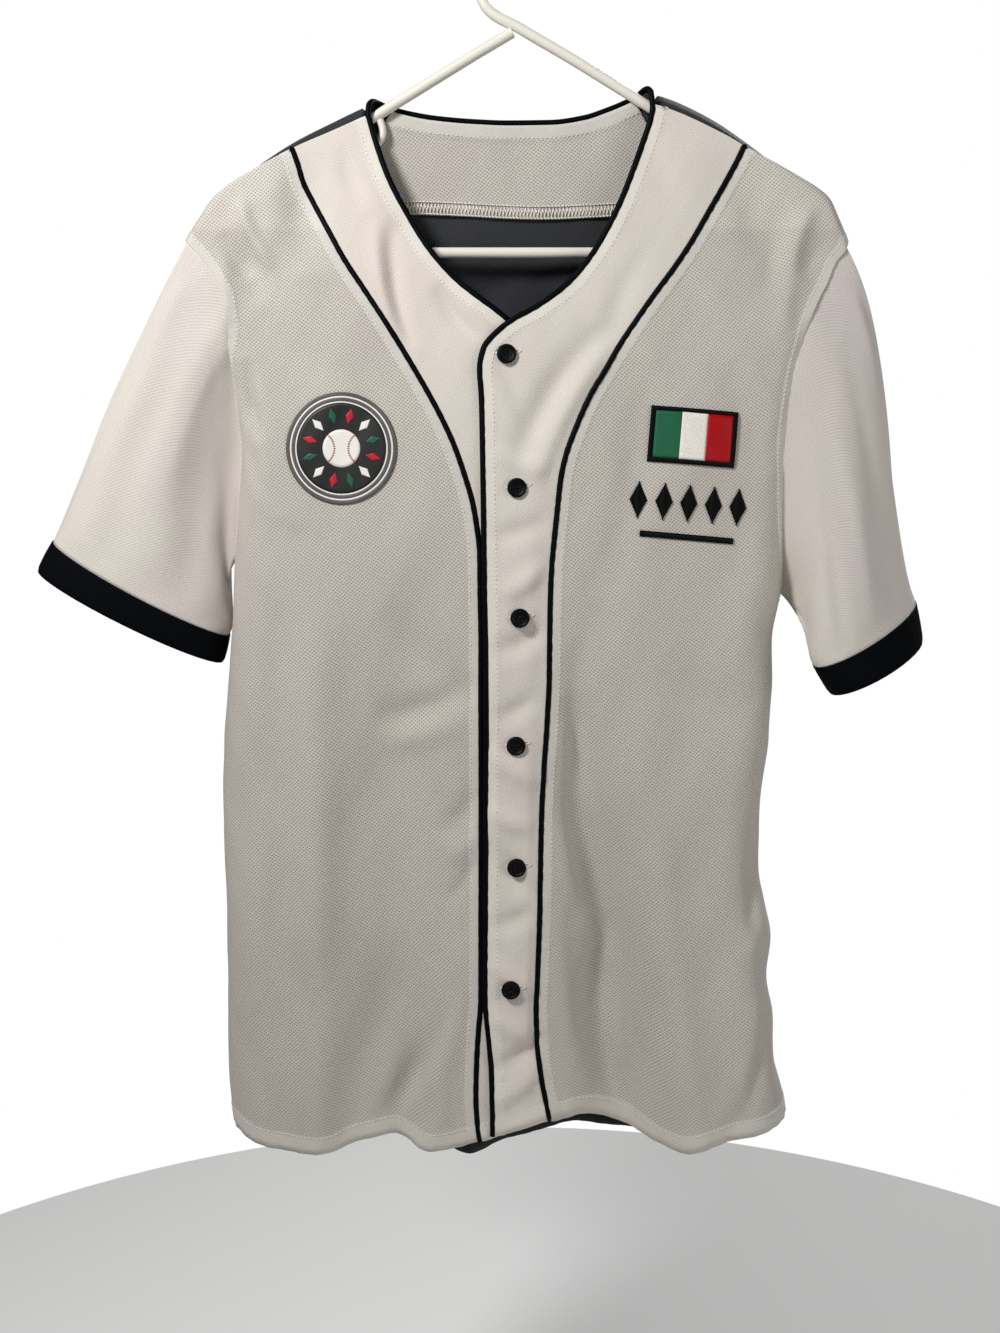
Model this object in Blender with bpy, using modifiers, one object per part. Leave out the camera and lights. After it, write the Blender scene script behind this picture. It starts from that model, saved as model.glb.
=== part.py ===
# Baseball jersey with short sleeves, buttoned and hung on a plastic tube hanger
# Left and right are the viewer's. Lengths are in millimetres until a mesh is written.
import math

import bmesh
import bpy
from mathutils import Matrix, Vector

MM = 0.001
LEFT, RIGHT = -1, 1
FRONT, BACK = -1, 1
CLOTH_WALL = 1.2
CUFF_WALL = 2.0
SEAM_GAP = 0.7
SHOULDER_GAP = 1.4
PIPING_RADIUS = 1.6
PIPING_ROOM = PIPING_RADIUS + 0.6
CREST_RADIUS = 6.5
CREST_LIFT = CREST_RADIUS * (math.pi / 2 - 1)
TUBE_RADIUS = 3.7
STRAP_HOOK_RADIUS = 2.6
BUTTON_DIAMETER = 14.0
BUTTON_THICKNESS = 2.6
BUTTON_HOLE_CIRCLE = 1.5
BUTTON_HOLE_RADIUS = 0.6
BUTTON_RIM = 1.8
BUTTON_DISH = 0.7
UNDERARM = {LEFT: -445.0, RIGHT: -468.0}
SIDE_SEAM_TURN = math.radians(100)
PLACKET_LIFT = 2.6

# shoulder line from left to right: across, height
CREST = [
    (-264, -262), (-250, -234), (-241, -216), (-236, -207), (-230, -198), (-221, -185), (-210, -174.5),
    (-193, -163), (-163, -145.5), (-135, -132.5), (-105.5, -119.5), (-92, -115), (-60, -112), (0, -110),
    (60, -107.5), (80, -107), (92, -111), (109, -116), (141, -130.5), (163, -143.5), (201, -167.5),
    (214, -176.5), (222, -184), (229, -198), (234, -209), (238.5, -221), (250, -248), (264, -276),
]
# how far the shoulder seam lies below the crest, on the front: across, drop
SHOULDER_SEAM = [
    (-242, 1.0), (-200, 1.8), (-164, 3.0), (-130, 4.6), (-108, 5.8), (0, 6.4), (94, 5.8), (130, 5.2),
    (161, 4.2), (200, 2.2), (240, 1.0),
]
# where the body turns to the side: height, left, right
BODY_EDGE = [
    (-905, 218, 208), (-871, 221, 206.5), (-857, 222, 205), (-825, 223, 198), (-791, 223.5, 195.5),
    (-763, 223.6, 190.9), (-734, 223.5, 192.9), (-704, 223.4, 186.9), (-679, 223.4, 182.3),
    (-651, 223.3, 181.8), (-618, 223, 183.6), (-578, 221.5, 189.2), (-542, 218, 190),
    (-504, 214.6, 188.6), (-467, 212, 194), (-430, 209.5, 195), (-401, 207.2, 196.3),
    (-358, 204.8, 199), (-330, 206.3, 202), (-300, 208, 208), (-280, 212, 216), (-259, 225, 229),
    (-241, 237, 239), (-215, 252, 250), (-105, 268, 268),
]
# half depths of the body: height, front at the side, front in the middle, back at the side,
# back in the middle
BODY_DEPTH = [
    (-905, 30, 36, 42, 40), (-750, 28, 34, 40, 40), (-600, 26, 32, 38, 40), (-467, 24, 31, 35, 38),
    (-400, 22.5, 29, 32, 34), (-330, 20, 26, 26, 28), (-280, 17, 22, 20, 22), (-241, 12, 18, 14, 18),
    (-215, 10, 15, 11, 16), (-150, 8, 10, 9, 11), (-105, 7, 7, 7, 8),
]
# large folds: face, height where it starts, height where it ends, across at the start, across at the end,
# half width, rise outwards, 1 when it also dies out at its lower end
FOLDS = [
    (FRONT, -690, -900, -42, -70, 15, 10, 0),
    (FRONT, -700, -900, -54, -93, 13, -6, 0),
    (FRONT, -590, -900, -38, -138, 20, -5, 0),
    (FRONT, -530, -880, -138, -150, 22, -5, 0),
    (FRONT, -560, -905, 32, 44, 14, -17, 0),
    (FRONT, -490, -905, 48, 114, 26, 9, 0),
    (FRONT, -680, -905, 150, 163, 14, -4, 0),
    (FRONT, -150, -236, -166, -170, 15, -3, 1),
    (FRONT, -150, -236, 168, 172, 15, -3, 1),
    (FRONT, -450, -720, -70, -90, 24, -3, 1),
    (BACK, -290, -905, -30, -42, 20, -22, 0),
    (BACK, -300, -905, 34, 46, 24, 16, 0),
    (BACK, -320, -905, -88, -102, 22, 14, 0),
    (BACK, -330, -905, -140, -158, 18, -10, 0),
    (BACK, -310, -905, 92, 108, 20, -14, 0),
    (BACK, -340, -905, 138, 156, 18, 9, 0),
]
# armholes by face and side: height, turn round the side in degrees
ARMHOLE = {
    (FRONT, LEFT): [
        (-216.5, -4), (-224, -24), (-241, -20), (-259, 2), (-280, 45), (-300, 72), (-330, 92),
        (-380, 99), (-445, 100),
    ],
    (FRONT, RIGHT): [
        (-221.5, -4), (-232, -22), (-247, -8), (-262, 5), (-280, 27), (-315, 42), (-358, 46),
        (-394, 53), (-430, 66), (-468, 100),
    ],
    (BACK, LEFT): [
        (-216.5, -4), (-228, -22), (-246, -16), (-270, 12), (-300, 38), (-340, 52), (-390, 64),
        (-445, 80),
    ],
    (BACK, RIGHT): [
        (-221.5, -4), (-234, -20), (-250, -8), (-274, 16), (-310, 38), (-360, 50), (-410, 62),
        (-468, 80),
    ],
}
# seam lines up the front, from the hem to the shoulder: across, height
PRINCESS_LEFT = [
    (-29.5, -881), (-31, -870.5), (-32.3, -846), (-31.8, -821), (-30.5, -796), (-28.6, -772),
    (-28.3, -695), (-28.2, -620), (-28.1, -560), (-28, -507), (-28.6, -468.6), (-28.9, -440),
    (-31.5, -416.4), (-34.3, -401.4), (-40, -382.2), (-47.4, -361.3), (-57.1, -340.4), (-66.4, -323.3),
    (-76.3, -306.4), (-97.1, -272.4), (-111.8, -250.7), (-126.1, -229.1), (-137, -209.4),
    (-148.1, -189.6), (-155.3, -175), (-158.7, -162.4), (-163.8, -148.6),
]
PRINCESS_RIGHT = [
    (22.8, -862), (19.7, -846), (15.9, -826), (13.5, -801), (12.7, -776), (14, -746.5), (15.4, -697.5),
    (16, -649), (17.7, -601.6), (20.1, -566), (21.8, -527), (22, -488), (22.6, -459), (24.7, -430),
    (27.5, -403), (29.3, -386), (33.1, -368.7), (40.7, -348), (50.5, -326), (60, -310.3),
    (71.1, -291.4), (83.8, -272.5), (96.3, -254.8), (109.1, -237.7), (121.9, -218.8), (134.6, -196.9),
    (145.6, -178), (155.2, -160.4), (161.3, -147),
]
# front edges: the left band ends under the right one
EDGE_LEFT = [
    (3, -869), (3.5, -800), (3, -600), (2.5, -400), (2, -310), (0, -289), (-5, -277), (-14.2, -268.5),
    (-30, -257), (-46.3, -243.6), (-64.1, -223.8), (-79, -200.6), (-93.2, -173.8), (-102.4, -148.7),
    (-106.6, -134), (-108.3, -127),
]
EDGE_RIGHT = [
    (-19.5, -875.5), (-19.6, -857), (-20.2, -832), (-21.7, -807.4), (-23.4, -789.8), (-25, -771),
    (-24.6, -695), (-24.5, -620), (-23.9, -560), (-24.3, -507), (-25.2, -468), (-26, -401),
    (-27.2, -330), (-28.6, -308), (-25.8, -293.5), (-17.8, -283.4), (-6.4, -274.2), (10.7, -264.9),
    (28.5, -252.2), (44.2, -236.3), (58.4, -215.9), (71.2, -190.8), (80.7, -167), (86.7, -150.3),
    (92.6, -132.9), (94.4, -123), (94.2, -118),
]
NECK_BACK = [
    (-108.5, -108.6), (-105.7, -113.6), (-101.5, -118.3), (-95, -121.2), (-82, -124.8), (-61, -128.4),
    (-32, -130.8), (-10, -131.6), (22.5, -131.2), (46.3, -128), (62.8, -122.8), (76, -117.6),
    (84, -113.6), (89.8, -107.6), (94, -99.2),
]
# hems: across (round the side), height
HEM_LEFT = [
    (-262, -876), (-246, -876.5), (-219, -879), (-205, -884), (-186, -888.5), (-165, -890),
    (-143, -890.4), (-121, -885), (-97, -882), (-84, -885), (-70, -889), (-56, -888), (-45, -886),
    (-29.3, -880.7),
]
HEM_RIGHT = [
    (22.8, -864), (36, -862), (43.5, -861), (62.5, -867), (83.4, -877.7), (96.4, -886), (107, -890.5),
    (120, -891), (136, -889), (167, -882), (190, -878), (206, -875), (232, -871), (262, -870),
]
HEM_BAND_LEFT = [(-29.3, -880.7), (-14, -876), (3, -871)]
HEM_BAND_RIGHT = [
    (-19.5, -875.5), (1.7, -869.7), (11.5, -866.6), (22.8, -864),
]
HEM_BACK = [
    (-262, -876), (-240, -878), (-200, -885), (-160, -893), (-110, -901), (-60, -906), (-20, -907),
    (30, -906), (70, -903), (120, -896), (170, -884), (205, -875), (232, -871), (262, -870),
]
FACING_FOOT = -196.5

# sleeve ends: centre, half of the wide way towards the top of the arm, half of the thin way
# towards the viewer
SLEEVE_END = {
    LEFT: {
        "top": ((-281, 6, -466.5), (-62.8, -5, 35.5), (-3, -29, -2)),
        "foot": ((-289.5, 5, -487.5), (-66.5, -4, 35), (-3, -30, -2)),
        "turn": 0.0,
    },
    RIGHT: {
        "top": ((262.3, 17.5, -500.6), (42.2, 52.5, 20.2), (20, -18.5, 6.7)),
        "foot": ((272, 19, -526), (38.5, 55, 15), (20, -19, 6.7)),
        "turn": 0.3,
    },
}
BUTTONS = [(-9.5, -297.8), (-2.1, -392.1), (0.2, -485.3), (-2.5, -578.6), (-1.9, -669.8), (-6, -760.7)]
BADGE_CENTRE = (-128, -364)
BADGE_RADIUS = 40.0
FLAG_CENTRE = (124.3, -355.6)
FLAG_HALF = (31.5, 20.0)
FLAG_TILT = -4.6
FLAG_BORDER = 3.6
FLAG_STRIPE = 18.6
STRIPE_GAP = 0.3
STRIPE_WALL = 0.5
STRIPE_LIFT = 1.4
PATCH_WALL = 0.8
PATCH_LIFT = 0.3
BADGE_WALL = 0.6
# diamonds and a bar embroidered under the flag: across, height
MOTIF = [
    (85.5, -400.4), (103.5, -401.8), (121.5, -403.2), (139.5, -404.6), (157.5, -406),
]
DIAMOND_HALF = (13, 6.2)
DIAMOND_TILT = 86
MOTIF_BAR = (120.5, -427.5)
MOTIF_BAR_HALF = (34, 2.2)
NECK_CORD_LEVEL = 0.9
CORD_LEVEL = -PIPING_RADIUS * 0.35
# hanger in its own plane: across, height
HOOK = [
    (26.5, -27), (26, -17), (21.5, -6.5), (13, 1.2), (0, 4), (-13, 1.2), (-23, -8), (-28, -21),
    (-29, -35), (-28, -45), (-25.2, -52), (-21, -57), (-15.5, -61), (-8, -64.6), (0, -68.5),
]
ARM = [(40, -91), (86, -118.3), (107, -130.6), (135, -143), (163, -156), (180, -166)]
# small hook under an arm: across, height
STRAP_HOOK = [(96.5, -130.1), (95.2, -134.2), (96.6, -138.9), (99.8, -142.3), (104, -143.8)]
# where the left arm meets the hook's shank
ARM_JOINT = (-8.6, 0, -73.2)
ARM_END_CENTRE = (183, -198.5)
ARM_END_RADIUS = 25.0

# grid rows and columns
ROWS_LOW = 13
ROWS_HIGH = [
    0, 0.12, 0.24, 0.36, 0.48, 0.59, 0.69, 0.78, 0.855, 0.905, 0.935, 0.955, 0.97, 0.982, 0.992, 1,
]
PANEL_COLUMNS = 10
BAND_COLUMNS = 4
BACK_COLUMNS = 28
NECK_SHARES = [
    0, 0.016, 0.032, 0.052, 0.08, 0.13, 0.22, 0.36, 0.5, 0.64, 0.78, 0.87, 0.925, 0.95, 0.968, 0.984, 1,
]
FACING_ROWS = 5
FACING_COLUMNS = 12
SLEEVE_ROWS = 8
CUFF_ROWS = 2


def blend(rows, at, column=1):
    """Smooth value of a table at a place in its first column, which may rise or fall."""
    if rows[0][0] > rows[-1][0]:
        rows = rows[::-1]
    if at <= rows[0][0]:
        return rows[0][column]
    if at >= rows[-1][0]:
        return rows[-1][column]
    i = next(k for k in range(1, len(rows)) if at <= rows[k][0]) - 1
    step = rows[i + 1][0] - rows[i][0]
    t = (at - rows[i][0]) / step

    def slope(k):
        if k in (0, len(rows) - 1):
            return 0.0
        before = (rows[k][column] - rows[k - 1][column]) / (rows[k][0] - rows[k - 1][0])
        after = (rows[k + 1][column] - rows[k][column]) / (rows[k + 1][0] - rows[k][0])
        return 0.0 if before * after <= 0 else 2 * before * after / (before + after)

    a, b = slope(i) * step, slope(i + 1) * step
    p, r = rows[i][column], rows[i + 1][column]
    return p + t * (a + t * (3 * (r - p) - 2 * a - b + t * (2 * (p - r) + a + b)))


def soft(t):
    t = min(max(t, 0.0), 1.0)
    return t * t * (3 - 2 * t)


def fold_rise(face, across, height):
    rise = 0.0
    for side, start, end, from_x, to_x, half_width, depth, closed in FOLDS:
        if side != face:
            continue
        t = (start - height) / (start - end)
        if t <= 0 or (closed and t >= 1):
            continue
        centre = from_x + (to_x - from_x) * min(t, 1)
        along = math.sin(math.pi * t) if closed else soft(t * 1.3)
        rise += depth * along * math.exp(-(((across - centre) / half_width) ** 2))
    return rise


def side_of(across, height):
    """(edge, radius) of the turn at the side that this point is on."""
    edge = blend(BODY_EDGE, height, 1 if across < 0 else 2)
    radius = (blend(BODY_DEPTH, height, 1) + blend(BODY_DEPTH, height, 3)) / 2
    return edge, radius


def depth_at(face, across, height):
    edge, radius = side_of(across, height)
    flat = edge - radius
    column = 1 if face == FRONT else 3
    outer = blend(BODY_DEPTH, height, column)
    middle = blend(BODY_DEPTH, height, column + 1)
    share = min(abs(across) / flat, 1)
    depth = outer + (middle - outer) * (1 - share**2) ** 2
    drop = blend(CREST, across) - height
    near = min(max((drop - CREST_RADIUS) / 70, 0), 1)
    near = 1 - (1 - near) ** 2
    depth += fold_rise(face, across, height) * (1 - share**8)
    return CREST_RADIUS + (depth - CREST_RADIUS) * near


def skin(face, across, height):
    """Point of the outer skin. Across runs on round the side, and height runs on over the shoulder."""
    crest = blend(CREST, across)
    down = crest + CREST_LIFT - height
    if down < CREST_RADIUS * math.pi / 2:
        turn = down / CREST_RADIUS
        height = crest - CREST_RADIUS * (1 - math.cos(turn))
        return Vector((across, face * CREST_RADIUS * math.sin(turn), height))
    edge, radius = side_of(across, height)
    flat = edge - radius
    if abs(across) <= flat:
        return Vector((across, face * depth_at(face, across, height), height))
    turn = (abs(across) - flat) / radius
    depth = blend(BODY_DEPTH, height, 1 if face == FRONT else 3) - radius * (1 - math.cos(turn))
    return Vector((math.copysign(flat + radius * math.sin(turn), across), face * depth, height))


def skin_out(face, across, height, out):
    """Point moved out of the skin along its normal."""
    here = skin(face, across, height)
    along, up = skin(face, across + 1, height) - here, skin(face, across, height + 1) - here
    normal = along.cross(up).normalized()
    return here + normal * (out if face == FRONT else -out)


def placket_lift(across, height):
    """The right band lies over the left one."""
    end = blend([(z, x) for x, z in PRINCESS_RIGHT], height)
    return PLACKET_LIFT * (1 - soft((across - 4.5) / max(end - 6, 3))) * (1 - soft((height + 276) / 30))


def side_across(face, side, height, turn):
    edge, radius = side_of(side, height)
    return side * (edge - radius + radius * turn)


def measured(line):
    """Running length of a line of (across, height) points."""
    lengths = [0.0]
    for a, b in zip(line, line[1:]):
        lengths.append(lengths[-1] + math.dist(a, b))
    return lengths


def spline_point(line, lengths, at):
    rows_x = list(zip(lengths, [p[0] for p in line]))
    rows_z = list(zip(lengths, [p[1] for p in line]))
    return blend(rows_x, at), blend(rows_z, at)


def shift(line, distance):
    """The line moved sideways, positive to the right of its direction."""
    moved = []
    for i, (x, z) in enumerate(line):
        before, after = line[max(i - 1, 0)], line[min(i + 1, len(line) - 1)]
        dx, dz = after[0] - before[0], after[1] - before[1]
        length = math.hypot(dx, dz)
        moved.append((x + distance * dz / length, z - distance * dx / length))
    return moved


def rows_of(line, split_height):
    """Points of an upward seam line at the rows that all the front pieces share."""
    lengths = measured(line)
    dense = [spline_point(line, lengths, lengths[-1] * k / 600) for k in range(601)]
    at = next(k for k, point in enumerate(dense) if point[1] >= split_height)
    low, high = dense[: at + 1], dense[at:]
    return pick(low, [j / ROWS_LOW for j in range(ROWS_LOW + 1)])[:-1] + pick(high, ROWS_HIGH)


def pick(line, shares):
    lengths = measured(line)
    return [straight_point(line, lengths, lengths[-1] * share) for share in shares]


def straight_point(line, lengths, at):
    i = next((k for k in range(1, len(lengths)) if at <= lengths[k]), len(lengths) - 1)
    t = (at - lengths[i - 1]) / max(lengths[i] - lengths[i - 1], 1e-9)
    a, b = line[i - 1], line[i]
    return tuple(a[k] + (b[k] - a[k]) * min(t, 1) for k in range(2))


def outer_rows(face, side, hem_height, inset):
    """Side seam and armhole of a front or the back, from the hem to the shoulder tip."""
    under = UNDERARM[side]
    seam_turn = SIDE_SEAM_TURN if face == FRONT else math.pi - SIDE_SEAM_TURN
    low = []
    for j in range(ROWS_LOW):
        height = hem_height + (under - hem_height) * j / ROWS_LOW
        low.append((side_across(face, side, height, seam_turn) - side * inset, height))
    line = []
    for height, turn in reversed(ARMHOLE[(face, side)]):
        line.append((side_across(face, side, height, math.radians(turn)), height))
    lengths = measured(line)
    dense = [spline_point(line, lengths, lengths[-1] * k / 400) for k in range(401)]
    dense = shift(dense, -side * inset)
    return low + pick(dense, ROWS_HIGH)


def seam_height(face, across, gap):
    """Height coordinate of the shoulder seam: the front ends below the crest, the back goes over it."""
    drop = min(blend(SHOULDER_SEAM, across), CREST_RADIUS)
    along = CREST_RADIUS * math.acos(1 - drop / CREST_RADIUS)
    return blend(CREST, across) + CREST_LIFT - (along + gap if face == FRONT else gap - along)


def patch(left, right, foot, top, columns):
    """Grid between four border lines: left and right are rows, foot and top functions of a share."""
    rows = []
    for j in range(len(left)):
        v = row_share(j)
        row = []
        for i in range(columns + 1):
            u = i / columns
            point = []
            for k in range(2):
                sides = (1 - u) * left[j][k] + u * right[j][k]
                ends = (1 - v) * foot(u)[k] + v * top(u)[k]
                low_corners = (1 - u) * left[0][k] + u * right[0][k]
                high_corners = (1 - u) * left[-1][k] + u * right[-1][k]
                point.append(sides + ends - (1 - v) * low_corners - v * high_corners)
            row.append(tuple(point))
        rows.append(row)
    return rows


def row_share(j):
    if j <= ROWS_LOW:
        return 0.57 * j / ROWS_LOW
    return 0.57 + 0.43 * ROWS_HIGH[j - ROWS_LOW]


def hem_line(hem, start, end):
    """Function of the share across along the hem between two across values, ending at given corners."""
    def at(u):
        across = start[0] + (end[0] - start[0]) * u
        bend = blend(hem, across) - (blend(hem, start[0]) * (1 - u) + blend(hem, end[0]) * u)
        return across, start[1] * (1 - u) + end[1] * u + bend
    return at


def top_line(face, start, end):
    """Function of the share across along the shoulder seam, ending at given corners."""
    def at(u):
        across = start[0] + (end[0] - start[0]) * u
        ends = (seam_height(face, start[0], SHOULDER_GAP), seam_height(face, end[0], SHOULDER_GAP))
        bend = seam_height(face, across, SHOULDER_GAP) - ends[0] * (1 - u) - ends[1] * u
        return across, start[1] * (1 - u) + end[1] * u + bend
    return at


def ended_on_seam(face, rows):
    """The last row put on the shoulder seam."""
    across = rows[-1][0]
    return rows[:-1] + [(across, seam_height(face, across, SHOULDER_GAP))]


def front_panel(side):
    hem = HEM_LEFT if side == LEFT else HEM_RIGHT
    seam = PRINCESS_LEFT if side == LEFT else PRINCESS_RIGHT
    inner = ended_on_seam(FRONT, rows_of(shift(seam, side * PIPING_ROOM), -442))
    inner[0] = (inner[0][0], blend(hem, inner[0][0]))
    outer = ended_on_seam(FRONT, outer_rows(FRONT, side, blend(hem, side * 250), SEAM_GAP))
    left, right = (outer, inner) if side == LEFT else (inner, outer)
    foot, top = hem_line(hem, left[0], right[0]), top_line(FRONT, left[-1], right[-1])
    return patch(left, right, foot, top, PANEL_COLUMNS)


def front_band(side):
    hem = HEM_BAND_LEFT if side == LEFT else HEM_BAND_RIGHT
    seam = PRINCESS_LEFT if side == LEFT else PRINCESS_RIGHT
    edge = EDGE_LEFT if side == LEFT else EDGE_RIGHT
    outer = ended_on_seam(FRONT, rows_of(shift(seam, -side * PIPING_ROOM), -442))
    inner = ended_on_seam(FRONT, rows_of(shift(edge, side * PIPING_ROOM), -430))
    outer[0] = (outer[0][0], blend(hem, outer[0][0]))
    inner[0] = (inner[0][0], blend(hem, inner[0][0]))
    left, right = (outer, inner) if side == LEFT else (inner, outer)
    foot, top = hem_line(hem, left[0], right[0]), top_line(FRONT, left[-1], right[-1])
    return patch(left, right, foot, top, BAND_COLUMNS)


def back_panel():
    left = ended_on_seam(BACK, outer_rows(BACK, LEFT, blend(HEM_BACK, -240), SEAM_GAP))
    right = ended_on_seam(BACK, outer_rows(BACK, RIGHT, blend(HEM_BACK, 240), SEAM_GAP))
    neck = shift(NECK_BACK, PIPING_ROOM)
    lengths = measured(neck)
    count = BACK_COLUMNS
    neck_share = [spline_point(neck, lengths, lengths[-1] * share) for share in NECK_SHARES]
    side_count = (count - len(NECK_SHARES) + 1) // 2
    tops = []
    for k in range(side_count):
        across = left[-1][0] + (neck_share[0][0] - left[-1][0]) * k / side_count
        tops.append((across, seam_height(BACK, across, SHOULDER_GAP)))
    tops += neck_share
    for k in range(1, side_count + 1):
        across = neck_share[-1][0] + (right[-1][0] - neck_share[-1][0]) * k / side_count
        tops.append((across, seam_height(BACK, across, SHOULDER_GAP)))
    hem = hem_line(HEM_BACK, left[0], right[0])
    return patch(left, right, hem, lambda u: tops[round(u * count)], count)


def neck_facing():
    foot_left, foot_right = (-116.0, FACING_FOOT), (106.0, FACING_FOOT)
    line = [p for p in shift(NECK_BACK, PIPING_ROOM + 0.2) if -92 < p[0] < 82]
    lengths = measured(line)
    rows = []
    for j in range(FACING_ROWS + 1):
        v = j / FACING_ROWS
        row = []
        for i in range(FACING_COLUMNS + 1):
            u = i / FACING_COLUMNS
            top = spline_point(line, lengths, lengths[-1] * u)
            foot = foot_left[0] + (foot_right[0] - foot_left[0]) * u
            bulge = 14 * math.sin(math.pi * v) * (2 * u - 1) * abs(2 * u - 1)
            row.append((foot + (top[0] - foot) * v + bulge * 0.6, FACING_FOOT + (top[1] - FACING_FOOT) * v))
        rows.append(row)
    return rows


def armhole_loop(side):
    """The whole armhole from the shoulder tip down the front, past the underarm and up the back."""
    front = [skin(FRONT, *place) for place in outer_rows(FRONT, side, -870, 0)[ROWS_LOW:]]
    back = [skin(BACK, *place) for place in outer_rows(BACK, side, -870, 0)[ROWS_LOW:]]
    across = front[-1].x
    tip = skin(FRONT, across, blend(CREST, across) + CREST_LIFT)
    return [tip] + front[::-1][1:] + back[1:-1]


def oval(end, turn, share):
    centre, wide, thin = (Vector(v) for v in end)
    angle = turn + 2 * math.pi * share
    return centre + wide * math.cos(angle) + thin * math.sin(angle)


def sleeve_point(side, loop, i, t):
    """Loft from the armhole to the sleeve end: i counts round the armhole, t runs down the sleeve."""
    share = loop_share(i, len(loop))
    ends = SLEEVE_END[side]
    end = oval(ends["top"], ends["turn"], share)
    axis = (Vector(ends["foot"][0]) - Vector(ends["top"][0])).normalized()
    start = loop[i]
    reach = (end - start).length
    over = 0.5 + 0.5 * math.cos(2 * math.pi * share)
    out = Vector((side * (0.50 + 0.25 * (1 - over)), 0, -0.86 + 0.35 * (1 - over))).normalized()
    a = start + out * reach * 0.3
    b = end - axis * reach * 0.3
    return (1 - t) ** 3 * start + 3 * (1 - t) ** 2 * t * a + 3 * (1 - t) * t * t * b + t**3 * end


def loop_share(i, count):
    """Share of the way round, even on the sleeve end although the armhole rows crowd at the tip."""
    half = count // 2
    j = i if i <= half else count - i
    share = 0.5 * (0.45 * (1 - ROWS_HIGH[-1 - j]) + 0.55 * j / half)
    return share if i <= half else 1 - share


def sleeve_rows(side):
    loop = armhole_loop(side)
    rows = []
    for k in range(SLEEVE_ROWS + 1):
        t = 0.012 + (1 - 0.012) * k / SLEEVE_ROWS
        rows.append([sleeve_point(side, loop, i, t) for i in range(len(loop))])
    return rows


def cuff_rows(side):
    ends = SLEEVE_END[side]
    count = 2 * (len(ROWS_HIGH) - 1)
    top_centre, foot_centre = Vector(ends["top"][0]), Vector(ends["foot"][0])
    start = 0.8 / (foot_centre - top_centre).length
    rows = []
    for k in range(CUFF_ROWS + 1):
        t = start + (1 - start) * k / CUFF_ROWS
        row = []
        for i in range(count):
            share = loop_share(i, count)
            high, low = oval(ends["top"], ends["turn"], share), oval(ends["foot"], ends["turn"], share)
            row.append(high + (low - high) * t)
        rows.append(row)
    return rows


def clear_scene():
    for obj in list(bpy.data.objects):
        bpy.data.objects.remove(obj, do_unlink=True)
    for group in list(bpy.data.collections):
        bpy.data.collections.remove(group)


def make_material(name, colour, roughness, metallic=0.0):
    material = bpy.data.materials.new(name)
    material.use_nodes = True
    shader = material.node_tree.nodes["Principled BSDF"]
    shader.inputs["Base Color"].default_value = (*colour, 1)
    shader.inputs["Roughness"].default_value = roughness
    shader.inputs["Metallic"].default_value = metallic
    material.diffuse_color = (*colour, 1)
    return material


def finish(name, mesh, material):
    obj = bpy.data.objects.new(name, mesh)
    mesh.materials.append(material)
    jersey.objects.link(obj)
    return obj


def loft(name, rows, material, wall, closed=False):
    """Sheet through rows of points, thickened inwards."""
    mesh = bpy.data.meshes.new(name)
    bm = bmesh.new()
    verts = [[bm.verts.new(point * MM) for point in row] for row in rows]
    count = len(rows[0])
    for low, high in zip(verts, verts[1:]):
        for i in range(count if closed else count - 1):
            n = (i + 1) % count
            bm.faces.new((low[i], low[n], high[n], high[i]))
    bm.to_mesh(mesh)
    bm.free()
    mesh.shade_smooth()
    obj = finish(name, mesh, material)
    solid = obj.modifiers.new("Wall", "SOLIDIFY")
    solid.thickness = wall * MM
    solid.offset = -1
    return obj


def skinned(face, rows, out=None):
    """Rows of (across, height) laid on the skin."""
    laid = []
    for row in rows:
        points = [skin_out(face, x, z, out(x, z)) if out else skin(face, x, z) for x, z in row]
        laid.append(points if face == FRONT else points[::-1])
    return laid


def tube(name, points, radius, material, sides=1, cyclic=False):
    curve = bpy.data.curves.new(name, "CURVE")
    curve.dimensions = "3D"
    curve.bevel_depth = radius * MM
    curve.bevel_resolution = sides
    curve.use_fill_caps = True
    spline = curve.splines.new("POLY")
    spline.points.add(len(points) - 1)
    for place, point in zip(spline.points, points):
        place.co = (*(Vector(point) * MM), 1)
    spline.use_cyclic_u = cyclic
    curve.materials.append(material)
    obj = bpy.data.objects.new(name, curve)
    jersey.objects.link(obj)
    return obj


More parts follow.
